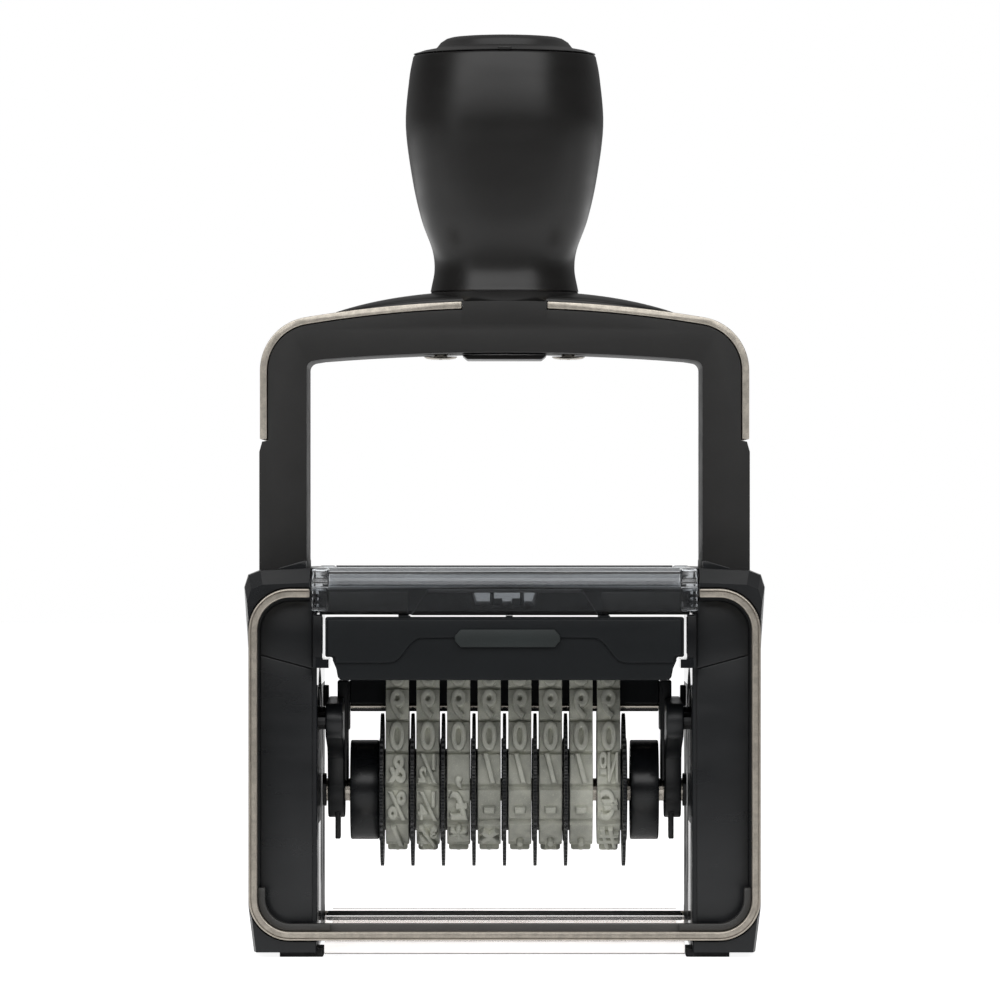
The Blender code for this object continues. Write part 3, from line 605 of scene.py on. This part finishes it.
def make_band(index):
    """A printing band: a loop of flat type blocks with narrow grooves, and raised mirrored type."""
    x = band_x(index)
    half = BAND_WIDTH / 2
    shape = bmesh.new()
    outline, inner = [], []
    for k in range(BLOCKS):
        point, following, along, up = block_frame(k)
        normal = JOINTS[k][1]
        inner.append(point - normal * BAND_BACK)
        spots = [point + normal * (BLOCK_RISE * GROOVE_RISE)]
        spots += [point + along * t + up * (BLOCK_RISE * rise) for t, rise in BLOCK_EDGE]
        spots += [following - along * t + up * (BLOCK_RISE * rise) for t, rise in BLOCK_EDGE[::-1]]
        outline += [(spot, up) for spot in spots]
    rows = []
    for level, drop in ((-half, EDGE_DROP), (EDGE_ROUND - half, 0.0), (half - EDGE_ROUND, 0.0),
                        (half, EDGE_DROP)):
        rows.append([shape.verts.new(Vector((x + level, *(spot - up * drop))) * MM) for spot, up in outline])
    count = len(outline)
    for first, second in zip(rows, rows[1:]):
        for i in range(count):
            j = (i + 1) % count
            shape.faces.new((first[i], first[j], second[j], second[i]))
    low, high = ([shape.verts.new(Vector((x + level, *point)) * MM) for point in inner]
                 for level in (-half, half))
    for k in range(BLOCKS):
        following = (k + 1) % BLOCKS
        shape.faces.new((low[k], low[following], high[following], high[k]))
        for row, bore in ((rows[0], low), (rows[-1], high)):
            outer = [row[(SECTIONS * k + i) % count] for i in range(SECTIONS + 1)]
            shape.faces.new(outer + [bore[following], bore[k]])
    bmesh.ops.recalc_face_normals(shape, faces=shape.faces)
    for k in range(BLOCKS):
        add_type(shape, sign_on(index, k), index, k)
    band = to_object(f"type_band_{index + 1}", shape)
    dress(band, "band_rubber", "carrier", f"band_{index + 1}")


def make_wheel(index):
    """A thumb wheel: a finely toothed disc, a ribbed boss on its outer face, and a hub inside the band."""
    facing = -1 if index == BAND_COUNT - 1 else 1
    x = band_x(index)
    outside = x - facing * (BAND_PITCH / 2 + DISC_WALL / 2)
    inside = x - facing * (BAND_PITCH / 2 - DISC_WALL / 2)
    tip = x + facing * (BAND_WIDTH / 2)
    centre = (0, 0, AXLE_Z)
    teeth, ribs, per_tooth = 72, 96, 4
    shape = bmesh.new()

    def cut_back(depth, smallest):
        """Lobes that take depth off the second half of each tooth, where the radius is above smallest."""
        return lambda i, radius: radius - (depth if i % per_tooth in (2, 3) and radius > smallest else 0.0)

    face = facing * 0.03
    disc = [(AXLE_BORE, outside), (WHEEL_R - 1.2, outside), (WHEEL_R - 0.1, outside + face),
            (WHEEL_R, outside + 2 * face), (WHEEL_R, inside - 2 * face), (WHEEL_R - 0.1, inside - face),
            (WHEEL_R - 1.2, inside), (HUB_R, inside), (HUB_R, tip), (AXLE_BORE, tip)]
    toothed = cut_back(0.34, WHEEL_R - 0.7)
    add_rings(shape, turned_rings(disc, "X", centre, teeth * per_tooth, toothed), closed=True)
    rise, root = -facing * 0.24, outside + facing * 0.05
    boss = [(6.8, root), (9.1, root), (9.1, outside + rise * 0.7), (8.8, outside + rise),
            (6.8, outside + rise)]
    add_rings(shape, turned_rings(boss, "X", centre, ribs * per_tooth, cut_back(0.22, 8.0)), closed=True)
    wheel = to_object(f"toothed_wheel_{index + 1}", shape)
    dress(wheel, "black_plastic", f"thumb_wheel_{index + 1}", f"wheel_{index + 1}")


def make_spacer(name):
    """A spacer roller with rounded rims and recessed ends round the axle."""
    low, high = span(f"spacer_{name}")
    radius = (high.z - low.z) / 2
    width = high.x - low.x
    half = [(AXLE_BORE, 0.9), (5.6, 0.9), (6.0, 0.0), (radius - 0.25, 0.0), (radius - 0.07, 0.08),
            (radius, 0.25)]
    profile = [(r, low.x + h) for r, h in half] + [(r, low.x + width - h) for r, h in half[::-1]]
    roller = turned(f"spacer_roller_{name}", profile, "X", (0, 0, AXLE_Z), 96, closed=True)
    dress(roller, "gloss_black", "carrier", f"spacer_{name}")


def make_plate(name, side):
    """A side plate: round ends at the lever's cam pin and the axle, and a prong at the lower end."""
    inner, outer, thick = PLATE_HIGH.x - 3.0, PLATE_HIGH.x, PLATE_LOW.x
    pivot, lever, top = (0, PIVOT_Z), (-CAM_ARM, PIVOT_Z), PLATE_HIGH.z - 3.0
    outline = [(5.0, top), (-5.6, top)] + arc(lever, 3.1, 85, 265, 16) + [(-8.0, 35.2), (-6.0, 33.6)]
    outline += arc((0, AXLE_Z), 4.9, 165, 375, 36) + [(5.5, 33.0), (5.5, top - 0.5)]
    plate = prism(f"side_plate_{name}", outline, "X", *pair(side, inner, outer))
    soften(plate, 0.3)
    thicker = block("thicker", pair(side, thick, inner + 1.3), (-4.0, 4.0),
                    (29.6, PLATE_HIGH.z))
    cheek = block("cheek", pair(side, thick - 0.25, thick + 0.5), (-3.6, 3.6),
                  (38.5, PLATE_HIGH.z - 0.2))
    prong = block("prong", pair(side, 29.0, 29.9), (-3.0, 3.0), (PLATE_LOW.z, 27.0))
    hook = block("hook", pair(side, outer - 0.1, outer + 0.9), (-2.0, 2.0), (42.6, 46.3))
    for part, width in ((thicker, 0.25), (cheek, 0.1), (prong, 0.15), (hook, 0.2)):
        soften(part, width)
    carve(plate, thicker, cheek, prong, hook, operation="UNION")
    holes = [turned("hole", [(0, side * 20), (radius, side * 20), (radius, side * 34), (0, side * 34)], "X",
                    (0, y, z), 32)
             for y, z, radius in ((*pivot, 2.2), (0, AXLE_Z, AXLE_BORE), (*lever, 1.65))]
    carve(plate, *holes)
    dress(plate, "black_plastic", "carrier", f"carrier_plate_{name}")


def make_carrier():
    for index in range(BAND_COUNT):
        make_band(index)
        make_wheel(index)
    for name, side in SIDES:
        make_spacer(name)
        make_plate(name, side)
        repaint(f"cam_pin_{name}", "black_steel", 0.2)
        repaint(f"axle_clip_{name}", "black_steel", 0.1)
    repaint("nose_bar", "black_plastic", 0.2)
    repaint("guide_rod", "steel", 0.05)
    repaint("wheel_axle", "steel", 0.2)


# -------- yoke

def make_knob():
    """The handle knob, with a waist, a full body and a rounded shoulder, and its chamfered cap."""
    foot, top = KNOB_LOW.z, KNOB_HIGH.z
    body = [(r, foot + h) for r, h in ((13.1, 0.1), (12.9, 1.0), (12.4, 4.0), (12.8, 7.5), (14.7, 12.8),
                                       (16.3, 19.9), (17.5, 29.4), (16.9, 37.6))] + [(16.2, top - 0.3)]
    profile = [(2.9, foot - 0.1), (13.0, foot - 0.1)] + smooth_through(body, 6)
    profile += [(16.1, top - 0.1), (15.9, top), (2.9, top)]
    knob = turned("turned_knob", profile, "Z", (0, 0, 0), 128, closed=True)
    dress(knob, "satin_black", "yoke", "knob")
    low, high = CAP_LOW.z, CAP_HIGH.z
    outer = [(r, low + h) for r, h in ((0, -0.1), (15.8, -0.1), (16.05, 0.0), (16.1, 0.12), (15.3, 0.32),
                                       (14.5, 0.6), (12.4, 1.0), (12.0, 1.2), (11.3, 2.1), (10.3, 2.75),
                                       (9.5, 2.98), (8.8, 3.05))] + [(0, high)]
    cap = turned("chamfered_cap", outer, "Z", (0, 0, 0), 128)
    latch = block("latch", (-1.2, 1.2), (-16.2, -15.2), (low - 0.05, low + 0.55))
    soften(latch, 0.15)
    carve(cap, latch, operation="UNION")
    dress(cap, "satin_black", "yoke", "knob_cap")


def crown_height(x, inset=0.0):
    top = STRIP_HIGH.z + STRIP_CREST
    return top - ARCH_RADIUS + math.sqrt((ARCH_RADIUS - inset) ** 2 - x ** 2)


STRIP_MIDDLE = STRIP_LOW.x
STRIP_CREST = ARCH_RADIUS - math.sqrt(ARCH_RADIUS ** 2 - STRIP_MIDDLE ** 2)
ARCH_TOP = STRIP_HIGH.z + STRIP_CREST
ARCH_SIDE = STRIP_HIGH.x


def arch_outline(inset, steps=40):
    """The crown and shoulders, inset from the strips' outer face, from the right side over to the left."""
    centre_z = ARCH_TOP - ARCH_RADIUS
    crown, corner, side = ARCH_RADIUS - inset, ARCH_CORNER - inset, ARCH_SIDE - inset
    x = side - corner
    z = centre_z + math.sqrt((crown - corner) ** 2 - x ** 2)
    lean = math.degrees(math.atan2(z - centre_z, x))
    right = arc((x, z), corner, 0, lean, 20)
    points = right + arc((0, centre_z), crown, lean, 180 - lean, steps)[1:-1]
    return points + [(-a, b) for a, b in right[::-1]]


def make_strip(name, side):
    """A brushed strip over one shoulder, ending beside the knob and at the arm's sleeve. Its metal is a
    lighter copy of the rim's, a painted highlight where the top light falls on it.
    """
    def run(inset):
        points = [(x, z) for x, z in arch_outline(inset, 80) if x > STRIP_MIDDLE + 1]
        end = (STRIP_MIDDLE, crown_height(STRIP_MIDDLE, inset))
        return [(ARCH_SIDE - inset, STRIP_LOW.z)] + points + [end]

    outline = [(side * a, b) for a, b in run(0.0) + run(STRIP_WALL)[::-1]]
    strip = prism(f"shoulder_strip_{name}", outline, "Y", STRIP_LOW.y, STRIP_HIGH.y)
    dress(strip, "bright_metal", "yoke", f"strip_{name}", width=0.18, segments=3)


def make_shell():
    """The yoke: arch and arms, with the raised middle between the strips and a bore for each spring."""
    inset = STRIP_WALL + 0.2
    notch = STRIP_LOW.z - 0.2
    arm_out, low = SHELL_HIGH.x, SHELL_LOW.z
    outline = [(arm_out, low), (arm_out, notch - 2.0), (ARCH_SIDE - 0.4, notch - 0.2),
               (ARCH_SIDE - inset, notch)]
    outline += arch_outline(inset)
    outline += [(-a, b) for a, b in outline[3::-1]]
    radius, corner_z, sag = 1.4, 103.5, 1.5
    inner = [(-ARM_IN, low)] + arc((radius - ARM_IN, corner_z - radius), radius, 180, 93, 6)
    inner += [(x, corner_z + sag * (1 - (x / ARM_IN) ** 2)) for x in range(-32, 33, 4)]
    inner += arc((ARM_IN - radius, corner_z - radius), radius, 87, 0, 6) + [(ARM_IN, low)]
    shell = prism("yoke_arch", outline + inner, "Y", SHELL_LOW.y, SHELL_HIGH.y)
    middle = STRIP_MIDDLE - 0.12
    cap = [(-middle, 110.0), (middle, 110.0)]
    cap += [(x, crown_height(x)) for x in (middle, middle / 2, 0.0, -middle / 2, -middle)]
    carve(shell, prism("middle", cap, "Y", SHELL_LOW.y - 0.02, SHELL_HIGH.y + 0.02), operation="UNION")
    for name, _ in SIDES:
        low, high = span(f"return_spring_{name}")
        centre = ((low.x + high.x) / 2, (low.y + high.y) / 2, 0)
        bore = [(SPRING_BORE, SHELL_LOW.z - 1.0), (SPRING_BORE, high.z + 0.3)]
        carve(shell, turned("spring_bore", bore, "Z", centre, 32))
    dress(shell, "cast_black", "yoke", "yoke_shell", width=0.45, segments=4)


def make_saddle():
    """The crowned pad over the arch that flares up to the knob's foot."""
    reach, depth, steps = span("saddle")[1].x - 0.2, 11.0, 48
    rings = []
    for i in range(steps + 1):
        t = -1 + 2 * i / steps
        x = t * reach
        half = depth * math.sqrt(max(1.0 - abs(t) ** 2.6, 0.004))
        base = crown_height(x) + 0.06
        rise = 0.35 + 1.7 * (1.0 - abs(t) ** 3.2)
        ring = [(x, half, base)]
        ring += [(x, half * math.cos(a), base + 0.05 + rise * math.sin(a) ** 0.8)
                 for a in (math.pi * j / 24 for j in range(25))]
        rings.append(ring + [(x, -half, base)])
    pad = skin("crowned_saddle", rings)
    top = KNOB_LOW.z - 0.14
    flare = [(0, 113.9), (12.9, 113.9), (13.05, 114.1), (13.05, top - 0.08), (12.95, top), (0, top)]
    collar = turned("collar", flare, "Z", (0, 0, 0), 96)
    carve(pad, collar, operation="UNION")
    dress(pad, "satin_black", "yoke", "saddle")


def make_screw(name):
    """A fixing screw with a domed head and a cross recess, seen from under the arch."""
    low, high = span(f"fixing_screw_{name}")
    x, radius = (low.x + high.x) / 2, (high.x - low.x) / 2
    head = [(0, low.z), (radius * 0.6, low.z + 0.03), (radius * 0.9, low.z + 0.18), (radius, low.z + 0.42),
            (radius, low.z + 0.55), (1.2, low.z + 0.6), (1.2, high.z), (0, high.z)]
    screw = turned(f"cross_screw_{name}", head, "Z", (x, 0, 0), 48)
    carve(screw, block("slot", (x - 1.6, x + 1.6), (-0.3, 0.3), (low.z - 0.1, low.z + 0.35)),
          block("slot", (x - 0.3, x + 0.3), (-1.6, 1.6), (low.z - 0.1, low.z + 0.35)))
    dress(screw, "steel", "yoke", f"fixing_screw_{name}")


def make_yoke():
    make_knob()
    make_shell()
    make_saddle()
    for name, side in SIDES:
        make_strip(name, side)
        make_screw(name)
        repaint(f"pivot_pin_{name}", "black_steel", 0.2)
    repaint("fixing_plate", "satin_black", 0.2)
    repaint("knob_bolt", "steel", 0.2)


# -------- base

def rim_outline(inset):
    """The rounded rectangle of the opening, inset from the rim's outer edge, from the top run's right end
    round to its left end."""
    side, radius = RIM_HIGH.x - inset, RIM_RADIUS - inset
    low, high = RIM_LOW.z + inset, RIM_HIGH.z - inset
    right = side - radius
    points = [(COVER_HIGH.x + 0.25, high)]
    points += arc((right, high - radius), radius, 90, 0, 20)
    points += arc((right, low + radius), radius, 0, -90, 20)
    return points + [(-a, b) for a, b in points[::-1]]


def make_rim(end, sign):
    """A brushed metal bezel: a wide land, and a fine groove inside its outer edge."""
    low, high = span(f"rim_{end}")
    face, back = (low.y, high.y) if sign < 0 else (high.y, low.y)
    rim = prism(f"bezel_{end}", rim_outline(0.0) + rim_outline(RIM_WALL)[::-1], "Y", *sorted((face, back)))
    groove = rim_outline(0.30) + rim_outline(0.52)[::-1]
    soften(rim, 0.22)
    carve(rim, prism("groove", groove, "Y", *sorted((face + sign * 0.1, face - sign * 0.6))))
    dress(rim, "beige_metal", "base", f"rim_{end}")


def make_liner(end, name, side, sign):
    """The grey lining in a lower corner, which carries the rail's line round inside the rim."""
    top = span(f"rail_{end}")[1].z
    inset, depth = RIM_WALL + 0.1, max(top - RIM_LOW.z, RIM_WALL + 0.6)
    x, z = RIM_HIGH.x - RIM_RADIUS, RIM_LOW.z + RIM_RADIUS
    start = 30.1 if end == "front" else 33.0
    outer = [(start, RIM_LOW.z + inset)] + arc((x, z), RIM_RADIUS - inset, -90, 0, 24)
    outer.append((outer[-1][0], z + 1.8))
    inner = [(x + RIM_RADIUS - depth, z + 1.8)] + arc((x, z), RIM_RADIUS - depth, 0, -90, 24)
    inner.append((start, RIM_LOW.z + depth))
    liner = prism(f"corner_liner_{end}_{name}", [(side * a, b) for a, b in outer + inner], "Y",
                  *pair(sign, 31.0, PANEL_FACE + 0.2))
    dress(liner, "liner_grey", "base", width=0.15)


def make_panel(end, name, side, sign):
    """Relief on a housing's recessed face: an upper and a lower plate, parted by a slanting line."""
    face = sign * PANEL_FACE
    inset = RIM_WALL + 0.4

    def plate(title, outline, near, far):
        """A plate whose front leans: near and far are how far it stands out at its low and high edge."""
        heights = [z for _, z in outline]
        low, high = min(heights), max(heights)
        front = [(side * x, face + sign * (near + (far - near) * (z - low) / (high - low)), z)
                 for x, z in outline]
        back = [(side * x, face - sign * 0.6, z) for x, z in outline]
        piece = skin(title, [back, front])
        dress(piece, "housing_black", "base", width=0.15, segments=3)

    radius = RIM_RADIUS - inset
    right = RIM_HIGH.x - RIM_RADIUS
    high = RIM_HIGH.z - RIM_RADIUS
    corner = arc((right, high), radius, 90, 0, 12)
    plate(f"upper_plate_{end}_{name}", [(PANEL_IN, RIM_HIGH.z - inset - 0.2)] +
          [(x, z - 0.2) for x, z in corner] + [(right + radius, 52.3), (PANEL_IN, 49.9)], 0.7, 0.2)
    low = RIM_LOW.z + RIM_RADIUS
    foot = arc((right, low), radius, 0, -90, 12)
    plate(f"lower_plate_{end}_{name}", [(PANEL_IN, 49.7), (right + radius, 52.1)] + foot +
          [(PANEL_IN, low - radius)], 0.3, 0.45)


def make_spring(name):
    """A coil spring in an arm's bore; the arm comes down on it."""
    low, high = span(f"return_spring_{name}")
    wire, turns, per_turn, sides = 0.42, 9, 24, 10
    foot = Vector(((low.x + high.x) / 2, (low.y + high.y) / 2, low.z))
    coil, rise = (high.x - low.x) / 2 - wire - 0.25, high.z - low.z - 2 * wire - 0.6
    rings = []
    for i in range(turns * per_turn + 1):
        angle = math.tau * i / per_turn
        out = Vector((math.cos(angle), math.sin(angle), 0))
        centre = foot + out * coil + Vector((0, 0, wire + rise * i / (turns * per_turn)))
        rings.append([centre + wire * (out * math.cos(a) + Vector((0, 0, math.sin(a))))
                      for a in (math.tau * k / sides for k in range(sides))])
    spring = skin(f"spring_coil_{name}", rings)
    dress(spring, "steel", "base", f"return_spring_{name}")
    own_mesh(spring)


def make_rib_face(name, side):
    """A strip of painted shade on the rib beside the drawer's front, in a darker copy of the black plastic.
    """
    face = block(f"rib_face_{name}", pair(side, 31.6, 33.0), (-31.2, -30.9), (51.8, 59.0))
    dress(face, "deep_black", "base", width=0.1)


def make_wedge(end, name, side, sign):
    """The small ramp on the housing's top beside the arm."""
    y = pair(sign, SHELL_HIGH.y + 0.5, SHELL_HIGH.y + 3.2)
    low, high = 66.9, 68.4
    outline = [(ARM_IN, low), (ARM_IN, high), (ARM_IN + 0.5, high), (39.5, low + 0.25), (39.5, low)]
    ramp = prism(f"ramp_{end}_{name}", [(side * a, b) for a, b in outline], "Y", *y)
    dress(ramp, "housing_black", "base", width=0.15)


def make_cover(end, sign):
    """A smoked bar: a long clear channel and, at each end, a thicker cap with moulded grooves."""
    low, high = span(f"top_cover_{end}")
    radius, back_radius, wall, foot = 3.4, 1.7, 1.0, BRIDGE_HIGH.z + 0.15
    near, far = (low.y, high.y) if sign < 0 else (high.y, low.y)

    def channel(inset):
        r = radius - inset
        points = [(near - sign * inset, low.z)]
        centre = (near - sign * radius, high.z - radius)
        points += [(centre[0] + sign * (a - centre[0]), b) for a, b in arc(centre, r, 0, 90, 16)]
        back = (far + sign * back_radius, high.z - back_radius)
        points += [(back[0] + sign * (a - back[0]), b)
                   for a, b in arc(back, back_radius - inset * 0.5, 90, 180, 10)]
        return points + [(far + sign * inset * 0.5, foot)]

    half, cap = high.x, 3.0
    outline = channel(0.0) + channel(wall)[::-1]
    bar = prism(f"smoked_bar_{end}", outline, "X", -half + cap + 0.06, half - cap - 0.06)
    dress(bar, "smoke_plastic", "base", f"top_cover_{end}")
    closed = channel(0.02) + [(near - sign * 2.6, foot), (near - sign * 2.6, low.z)]
    for name, side in SIDES:
        end_cap = prism(f"bar_cap_{end}_{name}", closed, "X", *pair(side, half - cap, half))
        soften(end_cap, 0.5, 4)
        x = pair(side, half - cap + 0.5, half + 1)
        y = sorted((near - sign * 0.35, near + sign * 2))
        carve(end_cap, *[block("groove", x, y, (z, z + 0.5)) for z in (60.6, 61.7, 62.8)])
        dress(end_cap, "smoke_plastic", "base")


def make_bridge():
    """The bridge, with posts and steps at the front of its see-through tunnel, and its tongues' facings; the
    dark sheet on each tongue's front is painted shade.
    """
    repaint("top_bridge", "black_plastic", 0.2)
    floor, post_top, step_top = 60.7, 63.1, 62.0
    posts = (((-2.55, -1.85), post_top), ((2.65, 3.35), post_top), ((-1.85, -0.45), step_top),
             ((1.25, 2.65), step_top))
    for i, (x, z) in enumerate(posts):
        post = block(f"tunnel_post_{i + 1}", x, (-29.3, -26.0), (floor, z))
        dress(post, "black_plastic", "base", width=0.08)
    for end, sign in ENDS:
        edge = block(f"tongue_edge_{end}", (-13.2, 13.2), pair(sign, 29.75, 29.1), (63.05, 63.45))
        dress(edge, "rail_grey", "base", width=0.12)
        # The dark sheet on the tongue's front is painted shade, darker than the black plastic.
        right = [(15.9, BRIDGE_FLOOR + 0.2), (13.7, 63.0), (5.8, 63.0), (5.1, floor)]
        outline = [(-15.9, BRIDGE_FLOOR + 0.2)] + right + [(-x, z) for x, z in right[:0:-1]]
        front = prism(f"tongue_face_{end}", outline, "Y", *pair(sign, 29.72, 29.5))
        dress(front, "deep_black", "base", width=0.06)
        for name, side in SIDES:
            face = block(f"bridge_face_{end}_{name}", pair(side, 16.9, BRIDGE_HIGH.x - 0.4),
                         pair(sign, 22.9, 22.5), (BRIDGE_FLOOR + 0.2, BRIDGE_HIGH.z - 0.9))
            dress(face, "liner_grey", "base", width=0.12)


def make_base():
    for name, side in SIDES:
        repaint(f"housing_{name}", "housing_black", 0.3)
        make_spring(name)
        make_rib_face(name, side)
        for end, sign in ENDS:
            repaint(f"foot_{end}_{name}", "foot_rubber", 0.3)
            make_liner(end, name, side, sign)
            make_panel(end, name, side, sign)
            make_wedge(end, name, side, sign)
    seal = block("window_seal_rear", (-31.9, 31.9), (25.75, 26.25), (3.76, 4.84))
    dress(seal, "liner_grey", "base", width=0.15)
    for end, sign in ENDS:
        make_rim(end, sign)
        make_cover(end, sign)
        repaint(f"rail_{end}", "rail_grey" if end == "front" else "gloss_black", 0.2)
        repaint(f"window_{end}", "clear_plastic", 0.08)
    make_bridge()


# -------- ink drawer

DRAWER_SHIFT = 0.5    # the front's raised plate and grip sit a little to the right


def make_drawer():
    """The drawer: a tray over the pad, and a front with a raised grained plate and a grip."""
    half, front, rear = DRAWER_HIGH.x, DRAWER_LOW.y, DRAWER_HIGH.y
    shoulder, wall, roof, front_wall = 51.9, 1.2, DRAWER_HIGH.z - 0.5, 3.5
    tray = block("drawer_tray", (-half, half), (front + 2.0, rear), (shoulder, roof))
    soften(tray, 0.35)
    below, past = 40.0, 40.0
    carve(tray, block("hollow", (wall - half, half - wall), (front + front_wall, rear - wall),
                      (below, PAD_HIGH.z + 0.3)),
          block("step", (-past, past), (2.0, past), (below, shoulder + 2.0)))
    lip, low = 29.7, DRAWER_LOW.z
    side = [(half, DRAWER_HIGH.z + 0.3), (half, shoulder), (lip, shoulder), (lip, low + 3.4),
            (lip - 0.6, low + 2.0), (lip - 0.9, low + 0.4), (lip - 1.5, low)]
    plate = prism("front", side + [(-a, b) for a, b in side[::-1]], "Y", front, front + front_wall)
    soften(plate, 0.35)
    tabs = [block("tab", (x, x + width), (front + 0.2, front + 3.0), (58.0, BRIDGE_FLOOR - 0.06))
            for x, width in ((-18.2, 1.9), (0.2, 1.2), (16.3, 1.9))]
    carve(tray, plate, *tabs, operation="UNION")
    dress(tray, "grained_black", "drawer", "ink_cassette")

    right = [(half - 0.35, DRAWER_HIGH.z + 0.05), (half - 0.35, 52.1), (29.3, 52.0), (29.3, 50.8)]
    right += smooth_through([(20.6, 50.8), (18.9, 51.4), (16.6, 54.2), (15.3, 55.1)], 6) + [(8.3, 55.2)]
    moved = 25                      # points nearer to the middle than this are shifted
    outline = [(a + DRAWER_SHIFT * (a < moved), b) for a, b in right]
    outline += [(DRAWER_SHIFT * (a < moved) - a, b) for a, b in right[::-1]]
    rings = [[(x, y, z) for x, z in outline] for y in (front + 0.3, front - 0.6)]
    raised = skin("raised_plate", rings)
    dress(raised, "grained_black", "drawer", width=0.55, segments=4)
    end, corner, low, high, cut = 9.1, 8.1, 53.6, 56.7, 1.1
    grip = [(end, high - cut), (corner, high), (-corner, high), (-end, high - cut), (-end, low + cut),
            (-corner, low), (corner, low), (end, low + cut)]
    bar = prism("grip", [(a + DRAWER_SHIFT, b) for a, b in grip], "Y", front - 0.95, front + 0.2)
    dress(bar, "grip_grey", "drawer", width=0.18, segments=3)
    repaint("ink_pad", "ink_felt", 0.2)


# -------- stage

def studio_world():
    """White to the lens, and to clear pieces. To the rest, dim in front and brighter behind and above."""
    world = bpy.data.worlds.new("studio")
    bpy.context.scene.world = world
    world.use_nodes = True
    nodes, links = world.node_tree.nodes, world.node_tree.links
    nodes.clear()

    def add(kind, *values, **settings):
        node = nodes.new(kind)
        for key, value in settings.items():
            setattr(node, key, value)
        for socket, value in zip(node.inputs, values):
            if isinstance(value, bpy.types.NodeSocket):
                links.new(value, socket)
            elif value is not None:
                socket.default_value = value
        return node

    axes = add("ShaderNodeSeparateXYZ", add("ShaderNodeTexCoord").outputs["Generated"])

    def ramp(axis, start, end, top):
        """Rises smoothly from 0 to top as a part of the view's direction goes from start to end."""
        return add("ShaderNodeMapRange", axes.outputs[axis], start, end, 0.0, top,
                   interpolation_type="SMOOTHSTEP").outputs[0]

    total = ramp(1, 0.15, 0.85, 0.12)           # the room behind
    screen, sky, base = ramp(1, 0.984, 0.994, 0.78), ramp(2, 0.2, 1.0, 0.12), 0.05
    for part in (screen, sky, base):
        total = add("ShaderNodeMath", total, part, operation="ADD").outputs[0]
    rays = add("ShaderNodeLightPath")
    clear = add("ShaderNodeMath", rays.outputs["Is Camera Ray"], rays.outputs["Is Transmission Ray"],
                operation="MAXIMUM")
    seen = add("ShaderNodeBackground", (1, 1, 1, 1), 1.0)
    lit = add("ShaderNodeBackground", (1, 1, 1, 1), total)
    mix = add("ShaderNodeMixShader", clear.outputs[0], lit.outputs[0], seen.outputs[0])
    add("ShaderNodeOutputWorld", mix.outputs[0])


def table():
    """A pale light table. To the lens and to clear pieces it is evenly white. To the rest it is dim in front
    of the stamp, brighter under it and brightest behind."""
    floor = block("floor", (-3000, 3000), (-2500, 3500), (-6.0, 0.0))
    n = Nodes("floor")
    cloud = n.noise(3.0, 2.0)
    depth = n.axes()[1]
    glow = n.math("ADD", n.span(depth, 0.015, 0.27, -0.42, -0.16), n.span(depth, 0.0, 0.60, 0.30, 0.80))
    rays = n.add("ShaderNodeLightPath").outputs
    seen = n.math("MAXIMUM", rays["Is Camera Ray"], rays["Is Transmission Ray"])
    glow = n.span(seen, glow, 0.90, 0.0, 1.0)
    near = n.span(depth, 1.0, 0.0, -0.30, -0.10)
    pale = n.blend(n.span(cloud), (0.90, 0.90, 0.90, 1), (0.93, 0.93, 0.93, 1))
    n.shade(Base_Color=n.blend(near, pale, (0.30, 0.30, 0.30, 1)),
            Roughness=n.span(cloud, 0.5, 0.6), Specular_IOR_Level=0.2,
            Emission_Color=(1.0, 1.0, 1.0, 1.0), Emission_Strength=glow)
    floor.data.materials.append(n.material)


def make_stage():
    """The table, soft lights and the camera, level with the middle of the stamp."""
    table()
    studio_world()
    middle = Vector((0, 0, 90 * MM))
    for name, place, size, power in (("softbox", (-60, -930, 790), (2900, 860), 14.5),
                                     ("side", (-900, -500, 300), (300, 500), 0.3),
                                     ("top", (0, 60, 900), (700, 420), 0.8)):
        lamp = bpy.data.lights.new(name, "AREA")
        lamp.shape = "RECTANGLE"
        lamp.size, lamp.size_y = size[0] * MM, size[1] * MM
        lamp.energy = power
        obj = new_object(name, lamp)
        obj.location = Vector(place) * MM
        obj.rotation_euler = (middle - obj.location).to_track_quat("-Z", "Y").to_euler()

    scene = bpy.context.scene
    scene.view_settings.view_transform = "Standard"
    lens = bpy.data.cameras.new("camera")
    lens.lens = 252.0
    lens.sensor_width = 36.0
    lens.clip_end = 20.0
    lens.shift_y = 0.01
    camera = new_object("camera", lens)
    camera.location = Vector((-0.8, -1240.0, 77.3)) * MM
    camera.rotation_euler = (math.radians(90), 0, 0)
    scene.camera = camera


make_carrier()
make_yoke()
make_base()
make_drawer()
make_stage()

bpy.context.view_layer.update()
